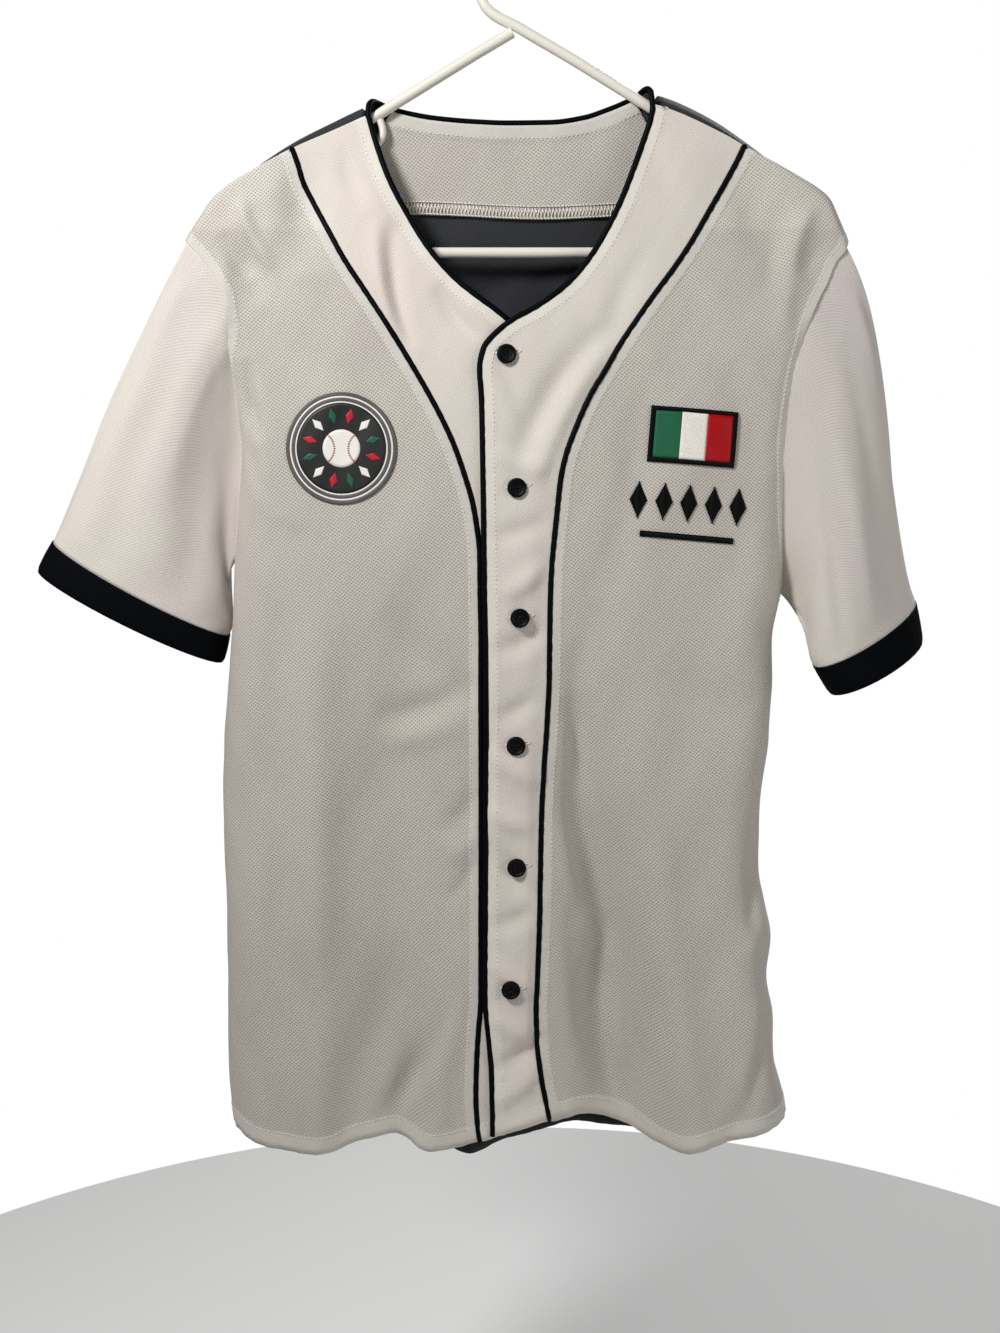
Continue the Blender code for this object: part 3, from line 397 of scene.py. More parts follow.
def outerRows(face, side, hemHeight, inset):
    # side seam and armhole, from the hem to the shoulder tip
    seamTurn = body["sideSeamTurn"] if face == front else math.pi - body["sideSeamTurn"]
    heights = np.linspace(hemHeight, body["underarm"][side], body["lowRows"] + 1)[:-1]
    edge, radius = sideOf(side, heights)
    low = np.stack([side * (edge - radius + radius * seamTurn) - side * inset, heights], -1)
    rows = []
    for height, turn in reversed(body["armhole"][(face, side)]):
        edge, radius = sideOf(side, height)
        rows.append((float(side * (edge - radius + radius * math.radians(turn))), height))
    high = evenly(shifted(smoothLine(rows), -side * inset), body["highRows"] + 1)
    return np.concatenate([low, high])


def seamHeight(face, across, gap):
    # the front reaches the shoulder seam from below and the back over the crest
    radius = body["crestRadius"]
    drop = shoulderDrop(across)
    along = radius * np.arccos(1 - np.minimum(drop, radius) / radius) + np.maximum(drop - radius, 0)
    return crestAt(across) + crestLift - (along + gap if face == front else gap - along)


def bordered(leftRows, rightRows, foot, top, u):
    # grid of (across, height) between four border lines
    low, high, share = body["lowRows"], body["highRows"], body["lowShare"]
    v = np.concatenate([share * np.arange(low) / low, share + (1 - share) * np.arange(high + 1) / high])
    v = v[:, None, None]
    u = u[None, :, None]
    leftRows, rightRows = leftRows[:, None, :], rightRows[:, None, :]
    sides = (1 - u) * leftRows + u * rightRows
    ends = (1 - v) * foot[None] + v * top[None]
    lowCorners = (1 - u) * leftRows[:1] + u * rightRows[:1]
    highCorners = (1 - u) * leftRows[-1:] + u * rightRows[-1:]
    return sides + ends - (1 - v) * lowCorners - v * highCorners


def hemLine(hem, start, end, u):
    hemAt = smoothCurve(hem)
    across = start[0] + (end[0] - start[0]) * u
    bend = hemAt(across) - (hemAt(start[0]) * (1 - u) + hemAt(end[0]) * u)
    return np.stack([across, start[1] * (1 - u) + end[1] * u + bend], -1)


def shoulderLine(face, start, end, gap, u):
    across = start[0] + (end[0] - start[0]) * u
    ends = seamHeight(face, start[0], gap) * (1 - u) + seamHeight(face, end[0], gap) * u
    return np.stack([across, start[1] * (1 - u) + end[1] * u + seamHeight(face, across, gap) - ends], -1)


def endedOnSeam(face, rows, gap):
    rows = rows.copy()
    rows[-1, 1] = seamHeight(face, rows[-1, 0], gap)
    return rows


def crowded(count, amount):
    # shares from 0 to 1 that lie closer together at both ends
    s = np.linspace(0, 1, count + 1)
    return s - amount * np.sin(2 * math.pi * s) / (2 * math.pi)


def distanceTo(grid, line):
    # distance and length along the line of every grid point, in the cloth's own plane
    line = evenly(line, 260)
    lengths = running(line)
    flat = grid.reshape(-1, 2)
    best = np.full(len(flat), 1e9)
    along = np.zeros(len(flat))
    for k in range(len(line) - 1):
        a, b = line[k], line[k + 1]
        run = b - a
        size = max(float(run @ run), 1e-9)
        t = np.clip(((flat - a) @ run) / size, 0, 1)
        gap = np.linalg.norm(flat - a - t[:, None] * run, axis=1)
        closer = gap < best
        best[closer] = gap[closer]
        along[closer] = lengths[k] + t[closer] * math.sqrt(size)
    return best.reshape(grid.shape[:2]), along.reshape(grid.shape[:2])


def toLinear(hexColour):
    parts = [int(hexColour[i : i + 2], 16) / 255 for i in (1, 3, 5)]
    return tuple(c / 12.92 if c <= 0.04045 else ((c + 0.055) / 1.055) ** 2.4 for c in parts) + (1.0,)


def addNode(tree, kind, output, settings=None, links=None):
    # makes a node, sets and links its inputs, and gives back one output
    made = tree.nodes.new("ShaderNode" + kind)
    for key, value in (settings or {}).items():
        if isinstance(key, int) or key in made.inputs:
            made.inputs[key].default_value = value
        else:
            setattr(made, key, value)
    for key, source in (links or {}).items():
        tree.links.new(source, made.inputs[key])
    return made.outputs[output]


def newMaterial(name, roughness, specular=0.5, sheen=0.0, coat=0.0):
    material = bpy.data.materials.new(name)
    material.use_nodes = True
    shader = material.node_tree.nodes["Principled BSDF"]
    values = {"Roughness": roughness, "Specular IOR Level": specular, "Sheen Weight": sheen,
              "Sheen Roughness": 0.4, "Coat Weight": coat}
    for key, value in values.items():
        shader.inputs[key].default_value = value
    return material, material.node_tree, shader


def addRelief(tree, shader, strength, distance, height):
    relief = addNode(tree, "Bump", "Normal", {"Strength": strength, "Distance": distance * mm},
                     {"Height": height})
    tree.links.new(relief, shader.inputs["Normal"])


def knitCloth(name, look):
    # polyester mesh knit: matt threads with a small hole in each stitch, laid in slanting rows
    material, tree, shader = newMaterial(name, look["roughness"], 0.25, look["sheen"])

    def add(kind, output, settings=None, links=None):
        return addNode(tree, kind, output, settings, links)

    def mixed(share, start, end):
        return add("Mix", 2, {"data_type": "RGBA", 7: toLinear(look[end])}, {0: share, 6: start})

    def times(factor, value, plus):
        return add("Math", "Value", {"operation": "MULTIPLY_ADD", 1: factor}, {0: value, 2: plus})

    pitchX, pitchY = look["pitch"]
    turned = add("Mapping", "Vector", {
        "Scale": (1 / (pitchX * mm), 1 / (pitchY * mm), 1),
        "Rotation": (0, 0, math.radians(knit["slant"])),
    }, {"Vector": add("TexCoord", "UV")})
    stitch = add("TexVoronoi", "Distance", {
        "voronoi_dimensions": "2D", "Scale": 1.0, "Randomness": 0.12}, {"Vector": turned})
    hole = add("MapRange", "Result", {
        "interpolation_type": "SMOOTHSTEP", "From Min": knit["holeSize"], "From Max": 0.05,
    }, {"Value": stitch})
    seam = add("Attribute", "Fac", {"attribute_name": "seam"})
    doubled = add("MapRange", "Result", {
        "interpolation_type": "SMOOTHSTEP", "From Min": look["doubled"] + 0.4,
        "From Max": look["doubled"] - 0.4,
    }, {"Value": seam})
    groove = add("Math", "Value", {"operation": "COMPARE", 1: look["doubled"] - 1.2, 2: 0.45}, {0: seam})
    coords = add("TexCoord", "Object")
    # random large patches of a second tone: on the white knits it is the lavender of their shadows, painted
    # shade laid at random; on the black back it is a slightly lighter grey
    cloud = add("TexNoise", "Fac", {"Scale": 7.0, "Detail": 2.0, "Roughness": 0.55}, {"Vector": coords})
    fibre = add("TexNoise", "Fac", {"Scale": 900.0, "Detail": 2.0, "Roughness": 0.6}, {"Vector": coords})
    patches = add("MapRange", "Result", {"From Min": 0.38, "From Max": 0.62}, {"Value": cloud})
    tones = {"data_type": "RGBA", 6: toLinear(look["thread"]), 7: toLinear(look["tint"])}
    tint = add("Mix", 2, tones, {0: patches})
    # a second layer under the cloth fills its holes in part
    openShare = add("Math", "Value", {
        "operation": "MULTIPLY_ADD", 1: -look["doubledFill"], 2: 1.0}, {0: doubled})
    hole = add("Math", "Value", {"operation": "MULTIPLY"}, {0: hole, 1: openShare})
    # the hole colour is what shows through each stitch: partly the cloth behind, such as the black back
    # behind the fronts, and partly painted shade of the garment's dark inside
    colour = mixed(hole, mixed(doubled, tint, "doubledColour"), "hole")
    bare = look.get("unbacked", 1.0)
    backing = add("Attribute", "Fac", {"attribute_name": "backing"})
    backed = add("Math", "Value", {"operation": "MULTIPLY_ADD", 1: 1.02 - bare, 2: bare}, {0: backing})
    shade = add("VectorMath", "Vector", {"operation": "SCALE"}, {0: colour, "Scale": backed})
    tree.links.new(shade, shader.inputs["Base Color"])
    addRelief(tree, shader, look["bump"], 0.35, times(-0.9, groove, times(-1.0, hole, fibre)))
    return material


def satinCloth(name, colour, ribPitch, roughness=0.5, bump=0.5, specular=0.25):
    # satin and rib trims: fine threads side by side, which give a soft broken gloss
    material, tree, shader = newMaterial(name, roughness, specular)
    coords = addNode(tree, "TexCoord", "Object")
    threads = addNode(tree, "TexNoise", "Fac", {
        "Scale": 1 / (ribPitch * mm), "Detail": 2.0, "Roughness": 0.6}, {"Vector": coords})
    shade = addNode(tree, "MapRange", "Result", {
        "From Min": 0.3, "From Max": 0.7, "To Min": 0.75, "To Max": 1.2}, {"Value": threads})
    shaded = addNode(tree, "VectorMath", "Vector", {
        "operation": "SCALE", 0: toLinear(colour)[:3]}, {"Scale": shade})
    tree.links.new(shaded, shader.inputs["Base Color"])
    addRelief(tree, shader, bump, 0.15, threads)
    return material


def mouldedPlastic(name, colour, roughness, coat, grain, specular=0.5):
    # injection-moulded plastic: an even colour with a faint orange-peel skin
    material, tree, shader = newMaterial(name, roughness, specular, 0.0, coat)
    shader.inputs["Base Color"].default_value = toLinear(colour)
    peel = addNode(tree, "TexNoise", "Fac", {"Scale": 1 / (grain * mm), "Detail": 3.0},
                   {"Vector": addNode(tree, "TexCoord", "Object")})
    addRelief(tree, shader, 0.12, 0.1, peel)
    return material


# slant of the rows of stitches in degrees, and the size of a hole as a share of the pitch
knit = {"slant": 38, "holeSize": 0.42}
clothLooks = {
    # grey-white mesh of the fronts, its holes a little darker and greener
    "panelMesh": {
        "thread": "#d0cbc0", "tint": "#ccc4bc", "hole": "#8d8880", "doubledColour": "#d5d0c7",
        "pitch": (2.2, 1.8), "doubled": 7.0, "doubledFill": 0.75,
        "roughness": 0.85, "sheen": 0.12, "bump": 0.55, "unbacked": 0.93,
    },
    # warm white mesh of the bands, backed by a second layer
    "bandMesh": {
        "thread": "#dcd5cb", "tint": "#dcd1ca", "hole": "#bbb4ab", "doubledColour": "#dfd9cf",
        "pitch": (1.7, 1.4), "doubled": 8.0, "doubledFill": 0.5,
        "roughness": 0.85, "sheen": 0.12, "bump": 0.35,
    },
    # warm white finer mesh of the sleeves
    "sleeveMesh": {
        "thread": "#dad3c9", "tint": "#d9cfca", "hole": "#b9b2aa", "doubledColour": "#dbd5cb",
        "pitch": (1.8, 1.4), "doubled": 4.0, "doubledFill": 0.5,
        "roughness": 0.85, "sheen": 0.12, "bump": 0.45,
    },
    # black mesh of the back, charcoal where light falls on its threads
    "backKnit": {
        "thread": "#2e2f33", "tint": "#323337", "hole": "#1b1c1f", "doubledColour": "#1d1e21",
        "pitch": (2.3, 1.8), "doubled": 5.0, "doubledFill": 0.5,
        "roughness": 0.8, "sheen": 0.1, "bump": 0.45,
    },
}
panelMesh = knitCloth("polyesterMeshGreyWhite", clothLooks["panelMesh"])
bandMesh = knitCloth("polyesterMeshWarmWhite", clothLooks["bandMesh"])
sleeveMesh = knitCloth("polyesterMeshSleeveWhite", clothLooks["sleeveMesh"])
backKnit = knitCloth("polyesterMeshBlack", clothLooks["backKnit"])
pipingSatin = satinCloth("satinPipingBlack", "#050609", 1.2, 0.55, 0.2, 0.06)
cuffRib = satinCloth("ribKnitCuffBlack", "#06080c", 0.9, 0.75, 0.7, 0.04)
patchTwill = satinCloth("satinStitchBlack", "#050608", 0.6, 0.6, 0.5, 0.08)
threadWhite = satinCloth("sewingThreadWhite", "#e6e0d8", 0.4, 0.7, 0.3)
threadBlack = satinCloth("sewingThreadBlack", "#060708", 0.4, 0.6, 0.3, 0.15)
threadRed = satinCloth("sewingThreadRed", "#b5001c", 0.4, 0.6, 0.3)
flagGreen = satinCloth("satinStitchGreen", "#1c6042", 0.6)
flagWhite = satinCloth("satinStitchWhite", "#ebe6dc", 0.6)
flagRed = satinCloth("satinStitchRed", "#a5000a", 0.6)
badgeCharcoal = mouldedPlastic("softTransferCharcoal", "#55504d", 0.55, 0.0, 0.8)
badgeWhite = mouldedPlastic("softTransferWhite", "#e9e6e0", 0.5, 0.0, 0.8)
badgeBlack = mouldedPlastic("softTransferBlack", "#101112", 0.5, 0.0, 0.8)
badgeGreen = mouldedPlastic("softTransferGreen", "#06573f", 0.5, 0.0, 0.8)
badgeRed = mouldedPlastic("softTransferRed", "#b5001c", 0.5, 0.0, 0.8)
hangerPlastic = mouldedPlastic("polypropyleneWarmWhite", "#e6e2d6", 0.32, 0.25, 2.0)
buttonPlastic = mouldedPlastic("polyesterResinBlack", "#020203", 0.5, 0.0, 3.0, 0.15)
print("materials made")


sideWords = {left: "left", right: "right"}


def sideName(stem, side):
    return stem + sideWords[side].capitalize()


def placed(name, data):
    piece = bpy.data.objects.new(name, data)
    bpy.context.scene.collection.objects.link(piece)
    return piece


def meshOf(name, bm):
    mesh = bpy.data.meshes.new(name)
    bm.to_mesh(mesh)
    bm.free()
    return mesh


def keep(piece, material, slot, *nodes):
    # a finished piece rides on the only body and takes the place of its solids
    piece.data.materials.append(material)
    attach(piece, "root")
    if nodes:
        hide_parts(*nodes)


def sheet(name, points, uv, marks, wall, closed=False):
    # cloth through a grid of points, thickened inwards; rows go up and columns to the right of its face
    rows, columns = points.shape[:2]
    bm = bmesh.new()
    bmesh.ops.create_grid(bm, x_segments=columns - 1, y_segments=rows - 1, size=1)
    uvLayer = bm.loops.layers.uv.new("cloth")
    layers = {key: bm.verts.layers.float.new(key) for key in marks}
    places = []
    for vert in bm.verts:
        place = round((vert.co.y + 1) / 2 * (rows - 1)), round((vert.co.x + 1) / 2 * (columns - 1))
        places.append(place)
        vert.co = Vector(points[place]) * mm
        for key, layer in layers.items():
            vert[layer] = float(marks[key][place])
    bm.verts.index_update()
    for face in bm.faces:
        for loop in face.loops:
            loop[uvLayer].uv = uv[places[loop.vert.index]]
    if closed:
        bmesh.ops.remove_doubles(bm, verts=bm.verts, dist=0.001 * mm)
    mesh = meshOf(name, bm)
    mesh.shade_smooth()
    piece = placed(name, mesh)
    thick = piece.modifiers.new("wall", "SOLIDIFY")
    thick.thickness = wall * mm
    thick.offset = -1
    return piece


def pucker(distance, along, reach=10.0, wave=9.0, size=0.28):
    # sewing draws the cloth into small ripples beside a seam
    return size * np.sin(2 * math.pi * along / wave + 1.3 * np.sin(along / 37)) * np.exp(-distance / reach)


def stepUp(distance, width, size=0.4):
    # the seam allowance under the cloth lifts it a little
    return size * (1 - soft((distance - width + 0.8) / 1.6))


def frontGrid(side, inner, outer, hem, columns, crowding):
    # one front piece between its middle and its side border, and its foot line
    first, last = (outer, inner) if side == left else (inner, outer)
    u = crowded(columns, crowding)
    foot = hemLine(hem, first[0], last[0], u)
    return bordered(first, last, foot, shoulderLine(front, first[-1], last[-1], 0.2, u), u), foot


frontPanels = {
    "columns": 84,
    # above this height the white facing shows faintly through the mesh, and below it the black back
    "backedAbove": -208.0,
    "allowance": 7.0,
    "hem": 14.0,
    "flat": {left: (0.235, 0.77), right: (0.235, 0.76)},
    "area": {left: 0.140, right: 0.130},
}


def frontPanel(side):
    hem = seams["hemPanel"][side]
    inner = seamRows(seams["princess"][side], seams["splitHeight"], side * seams["pipingRoom"])
    inner = endedOnSeam(front, inner, 0.2)
    inner[0, 1] = smoothCurve(hem)(inner[0, 0])
    outer = endedOnSeam(front, outerRows(front, side, float(smoothCurve(hem)(side * 250)), 0.1), 0.2)
    grid, foot = frontGrid(side, inner, outer, hem, frontPanels["columns"], 0.72)
    seamGap, seamRun = distanceTo(grid, inner)
    holeGap, holeRun = distanceTo(grid, outer[body["lowRows"] :])
    hemGap, hemRun = distanceTo(grid, foot)
    nearest = np.minimum(seamGap, holeGap)
    out = stepUp(nearest, frontPanels["allowance"]) + stepUp(hemGap, frontPanels["hem"], 0.5)
    out = out + pucker(seamGap, seamRun) + pucker(holeGap, holeRun, 8, 9, 0.14)
    out = out + pucker(hemGap, hemRun, 14, 12, 0.3)
    points, _ = clothPoint(front, grid[..., 0], grid[..., 1], out)
    marks = {
        "seam": np.minimum(nearest, hemGap * frontPanels["allowance"] / frontPanels["hem"]),
        "backing": soft((grid[..., 1] - frontPanels["backedAbove"] + 2) / 4),
    }
    piece = sheet(sideName("frontPanel", side), points, grid * mm, marks, body["wall"])
    keep(piece, panelMesh, "panel_mesh", "front_panel_" + sideWords[side])
    return {"inner": inner, "outer": outer, "foot": foot}


panels = {side: frontPanel(side) for side in (left, right)}
print("front panels made")

bands = {
    "columns": 30,
    "allowance": 8.0,
    "hem": 14.0,
    "flat": {left: (0.13, 0.79), right: (0.14, 0.80)},
    "area": {left: 0.033, right: 0.040},
}


def frontBand(side):
    hem = seams["hemBand"][side]
    outer = seamRows(seams["princess"][side], seams["splitHeight"], -side * seams["pipingRoom"])
    inner = seamRows(seams["edge"][side], seams["edgeSplit"], side * seams["pipingRoom"])
    outer, inner = endedOnSeam(front, outer, 0.2), endedOnSeam(front, inner, 0.2)
    outer[0, 1], inner[0, 1] = smoothCurve(hem)(outer[0, 0]), smoothCurve(hem)(inner[0, 0])
    grid, foot = frontGrid(side, inner, outer, hem, bands["columns"], 0.6)
    edgeGap, edgeRun = distanceTo(grid, inner)
    seamGap, seamRun = distanceTo(grid, outer)
    hemGap, _ = distanceTo(grid, foot)
    out = stepUp(edgeGap, bands["allowance"], 0.35) + stepUp(hemGap, bands["hem"], 0.5)
    out = out + pucker(edgeGap, edgeRun, 9, 10, 0.2) + pucker(seamGap, seamRun, 7, 9, 0.2)
    lift = placketLift(grid[..., 0], grid[..., 1]) if side == right else np.zeros(grid.shape[:2])
    points, _ = clothPoint(front, grid[..., 0], grid[..., 1], out + lift)
    mark = np.minimum(edgeGap, hemGap * bands["allowance"] / bands["hem"])
    piece = sheet(sideName("frontBand", side), points, grid * mm, {"seam": mark}, body["wall"])
    keep(piece, bandMesh, "band_mesh", "front_band_" + sideWords[side])
    return {"inner": inner, "foot": foot}


bandPieces = {side: frontBand(side) for side in (left, right)}
print("front bands made")

backPanel = {
    "neckShares": [
        0, 0.016, 0.032, 0.052, 0.08, 0.13, 0.22, 0.36, 0.5, 0.64, 0.78, 0.87, 0.925, 0.95, 0.968, 0.984, 1,
    ],
    "sideShare": 6 / 28,
    "sideColumns": 34,
    "neckColumns": 84,
    "hem": 14.0,
    "tuck": 1.1,
    "flat": (0.62, 0.80),
    "area": 0.36,
}


def neckPoints(share):
    return onLine(shifted(smoothLine(seams["neckBack"]), seams["pipingRoom"]), share)


def makeBack():
    tuck = -seams["seamTuck"]
    hem = seams["hemBack"]
    hemAt = smoothCurve(hem)
    # under the front at the side seam, and edge to edge with the sleeve at the armhole
    tucked = (1 - soft((np.arange(body["lowRows"] + body["highRows"] + 1) - body["lowRows"]) / 7))[:, None]
    borders = []
    for side in (left, right):
        hemHeight = float(hemAt(side * 240))
        under = outerRows(back, side, hemHeight, tuck)
        plain = outerRows(back, side, hemHeight, 0.1)
        borders.append(endedOnSeam(back, under * tucked + plain * (1 - tucked), tuck))
    first, last = borders
    side = backPanel["sideColumns"]
    neckU = np.linspace(0, 1, backPanel["neckColumns"] + 1)
    known = np.array(backPanel["neckShares"])
    neck = neckPoints(np.interp(neckU, np.linspace(0, 1, len(known)), known))
    sideU = np.arange(side) / side
    leftAcross = first[-1, 0] + (neck[0, 0] - first[-1, 0]) * sideU
    rightAcross = neck[-1, 0] + (last[-1, 0] - neck[-1, 0]) * (sideU + 1 / side)
    top = np.concatenate([
        np.stack([leftAcross, seamHeight(back, leftAcross, tuck)], -1), neck,
        np.stack([rightAcross, seamHeight(back, rightAcross, tuck)], -1),
    ])
    share = backPanel["sideShare"]
    u = np.concatenate([
        share * sideU, share + (1 - 2 * share) * neckU, 1 - share + share * (sideU + 1 / side),
    ])
    foot = hemLine(hem, first[0], last[0], u)
    grid = bordered(first, last, foot, top, u)
    low = body["lowRows"]
    sideGap = np.minimum(distanceTo(grid, first[:low])[0], distanceTo(grid, last[:low])[0])
    shoulderGap = np.minimum(distanceTo(grid, top[: side + 1])[0], distanceTo(grid, top[-side - 1 :])[0])
    neckGap, neckRun = distanceTo(grid, neck)
    hemGap, hemRun = distanceTo(grid, foot)
    tuckedGap = np.minimum(sideGap, shoulderGap)
    out = -backPanel["tuck"] * (1 - soft((tuckedGap - 1.0) / 3.0)) + stepUp(hemGap, backPanel["hem"], 0.5)
    out = out + pucker(hemGap, hemRun, 14, 12, 0.3) + pucker(neckGap, neckRun, 8, 9, 0.15)
    points, _ = clothPoint(back, grid[..., 0], grid[..., 1], out)
    mark = np.minimum(neckGap, hemGap * 5.0 / backPanel["hem"])
    piece = sheet("backPanel", points[:, ::-1], (grid * mm)[:, ::-1], {"seam": mark[:, ::-1]}, body["wall"])
    keep(piece, backKnit, "back_knit", "back_panel")
    return {"foot": foot, "neck": neck}


backPiece = makeBack()
print("back made")

facing = {
    "foot": -196.5, "footEnds": (-116.0, 106.0), "rows": 34, "columns": 110, "inward": -2.3, "wall": 0.8,
    "flat": (0.235, 0.088), "area": 0.0145,
    # ends of its top along the neck, waviness of its foot, and how far its sides bulge
    "ends": (-92, 82), "sway": 1.6, "bulge": 8.4,
}


def makeFacing():
    line = shifted(smoothLine(seams["neckBack"]), seams["pipingRoom"] + 0.4)
    line = line[(line[:, 0] > facing["ends"][0]) & (line[:, 0] < facing["ends"][1])]
    top = evenly(line, facing["columns"] + 1)
    v = np.linspace(0, 1, facing["rows"] + 1)[:, None]
    u = np.linspace(0, 1, facing["columns"] + 1)[None, :]
    sway = facing["sway"] * np.sin(2.3 * math.pi * u + 0.4) * (1 - v)
    foot = facing["footEnds"][0] + (facing["footEnds"][1] - facing["footEnds"][0]) * u
    bulge = facing["bulge"] * np.sin(math.pi * v) * (2 * u - 1) * np.abs(2 * u - 1)
    across = foot + (top[None, :, 0] - foot) * v + bulge
    height = facing["foot"] + (top[None, :, 1] - facing["foot"]) * v + sway
    grid = np.stack([across, height], -1)
    topGap, _ = distanceTo(grid, top)
    ripple = 0.5 * np.sin(2 * math.pi * (across + 0.55 * height) / 46) + 0.3 * np.sin(across / 13)
    out = facing["inward"] - 0.5 * (1 - soft((topGap - 9) / 2)) + 0.35 * ripple * soft(topGap / 15)
    points, _ = clothPoint(back, across, height, out, 0.6)
    mark = np.minimum(topGap - 2.5, body["noSeam"])
    piece = sheet("neckFacing", points[:, ::-1], (grid * mm)[:, ::-1], {"seam": mark[:, ::-1]},
                  facing["wall"])
    keep(piece, panelMesh, "panel_mesh", "neck_facing")
    return {"top": top, "foot": grid[0]}


facingPiece = makeFacing()
print("neck facing made")

sleeves = {
    "around": 56,
    "rows": 72,
    # how far inside the armhole and under its cloth the sleeve starts
    "inset": 1.5,
    "under": -1.3,
    "flat": (0.40, 0.30),
    "area": {left: 0.056, right: 0.060},
    # ovals where the cuff starts and ends: centre, half of the wide way, half of the thin way
    "top": {
        left: ((-281, 6, -466.5), (-62.8, -5, 35.5), (-3, -29, -2)),
        right: ((262.3, 17.5, -500.6), (42.2, 52.5, 20.2), (20, -18.5, 6.7)),
    },
    "foot": {
        left: ((-289.5, 5, -487.5), (-66.5, -4, 35), (-3, -30, -2)),
        right: ((272, 19, -526), (38.5, 55, 15), (20, -19, 6.7)),
    },
    "turn": {left: 0.0, right: 0.3},
    # creases: share round at the start, share at the end, start down, end down, half width, rise
    "creases": {
        left: [
            (0.10, 0.14, 0.10, 0.95, 0.030, 2.0), (0.17, 0.20, 0.20, 1.00, 0.028, -1.8),
            (0.25, 0.27, 0.15, 0.90, 0.030, 1.6), (0.34, 0.33, 0.30, 1.00, 0.028, -1.6),
            (0.60, 0.62, 0.10, 0.95, 0.035, 2.2), (0.70, 0.72, 0.20, 1.00, 0.030, -2.2),
            (0.82, 0.80, 0.15, 0.95, 0.035, 2.0), (0.05, 0.04, 0.25, 1.00, 0.020, -1.2),
        ],
        right: [
            (0.08, 0.12, 0.10, 0.95, 0.030, 2.4), (0.16, 0.20, 0.15, 1.00, 0.028, -2.6),
            (0.24, 0.27, 0.20, 0.95, 0.026, 2.4), (0.33, 0.36, 0.35, 1.00, 0.024, -2.0),
            (0.58, 0.60, 0.10, 0.95, 0.035, 2.2), (0.69, 0.70, 0.20, 1.00, 0.030, -2.4),
            (0.80, 0.80, 0.15, 0.95, 0.035, 2.2), (0.92, 0.90, 0.10, 0.90, 0.025, -1.6),
        ],
    },
}


def oval(side, end, share):
    centre, wide, thin = (np.array(v, float) for v in sleeves[end][side])
    angle = sleeves["turn"][side] + 2 * math.pi * share[..., None]
    return centre + wide * np.cos(angle) + thin * np.sin(angle)


def sleeveShares():
    # of each column: share of the armhole up from the underarm, and share round the sleeve's end
    q = np.linspace(0, 1, sleeves["around"] + 1)
    known = np.array(body["armholeShares"])
    up = np.interp(1 - q, np.linspace(0, 1, len(known)), known)
    share = 0.5 * (0.45 * (1 - up) + 0.55 * q)
    return up, np.concatenate([share, (1 - share)[::-1][1:]])


def armholeLoop(side, up, inset, out):
    loops = []
    for face in (front, back):
        rows = onLine(outerRows(face, side, -870, inset)[body["lowRows"] :], up)
        here, normal = normalAt(face, rows[:, 0], rows[:, 1])
        loops.append(here + normal * out)
    return np.concatenate([loops[0], loops[1][::-1][1:]])


def makeSleeve(side):
    up, share = sleeveShares()
    start = armholeLoop(side, up, sleeves["inset"], sleeves["under"])
    end = oval(side, "top", share)
    axis = unit(np.subtract(sleeves["foot"][side][0], sleeves["top"][side][0]))
    reach = np.linalg.norm(end - start, axis=1, keepdims=True)
    over = 0.5 + 0.5 * np.cos(2 * math.pi * share)
    out = unit(np.stack([side * (0.50 + 0.25 * (1 - over)), 0 * over, -0.86 + 0.35 * (1 - over)], -1))
    a, b = start + out * reach * 0.3, end - axis * reach * 0.3
    t = np.linspace(0, 1, sleeves["rows"] + 1)[:, None, None]
    points = (1 - t) ** 3 * start + 3 * (1 - t) ** 2 * t * a + 3 * (1 - t) * t * t * b + t**3 * end
    along = np.gradient(points, axis=1)
    along[:, 0] = along[:, -1] = points[:, 1] - points[:, -2]
    normal = unit(np.cross(along, np.gradient(points, axis=0)))
    normal *= np.sign(((points - points.mean(axis=1, keepdims=True)) * normal).sum(-1).mean())
    tt = t[..., 0]
    rise = np.zeros(points.shape[:2])
    for share0, share1, t0, t1, halfWidth, size in sleeves["creases"][side]:
        at = np.clip((tt - t0) / (t1 - t0), 0, 1)
        centre = share0 + (share1 - share0) * at
        gap = np.abs(share[None, :] - centre)
        gap = np.minimum(gap, 1 - gap)
        rise += size * np.sin(math.pi * at) ** 0.7 * np.exp(-((gap / halfWidth) ** 2))
    turns = 2 * math.pi * share[None, :]
    slow = 0.5 * np.sin(3 * turns + 5 * tt) + 0.4 * np.sin(5 * turns - 9 * tt)
    slow = slow + 0.25 * np.sin(9 * turns + 14 * tt)
    calm = soft(tt / 0.12) * (1 - soft((tt - 0.93) / 0.07))
    length = reach.mean()
    armGap = tt * length + 0 * rise
    ripple = pucker(armGap, turns * 60, 9, 10, 0.25) * soft(tt / 0.03)
    points = points + normal * ((rise + slow) * calm + ripple)[..., None]
    uv = np.stack(np.broadcast_arrays(running(end)[None, :], -tt * length), -1) * mm
    mark = np.minimum(armGap + 1, (1 - tt) * length + 2)
    # rows have to go up and columns to the right of the outer face
    points, uv, mark = (grid[::-1, ::-side] for grid in (points, uv, mark))
    piece = sheet(sideName("sleeve", side), points, uv, {"seam": mark}, body["wall"], closed=True)
    keep(piece, sleeveMesh, "sleeve_mesh", "sleeve_" + sideWords[side])


for side in (left, right):
    makeSleeve(side)
print("sleeves made")

cuffs = {"rows": 14, "wall": 1.6, "proud": 0.7, "flat": (0.30, 0.026)}


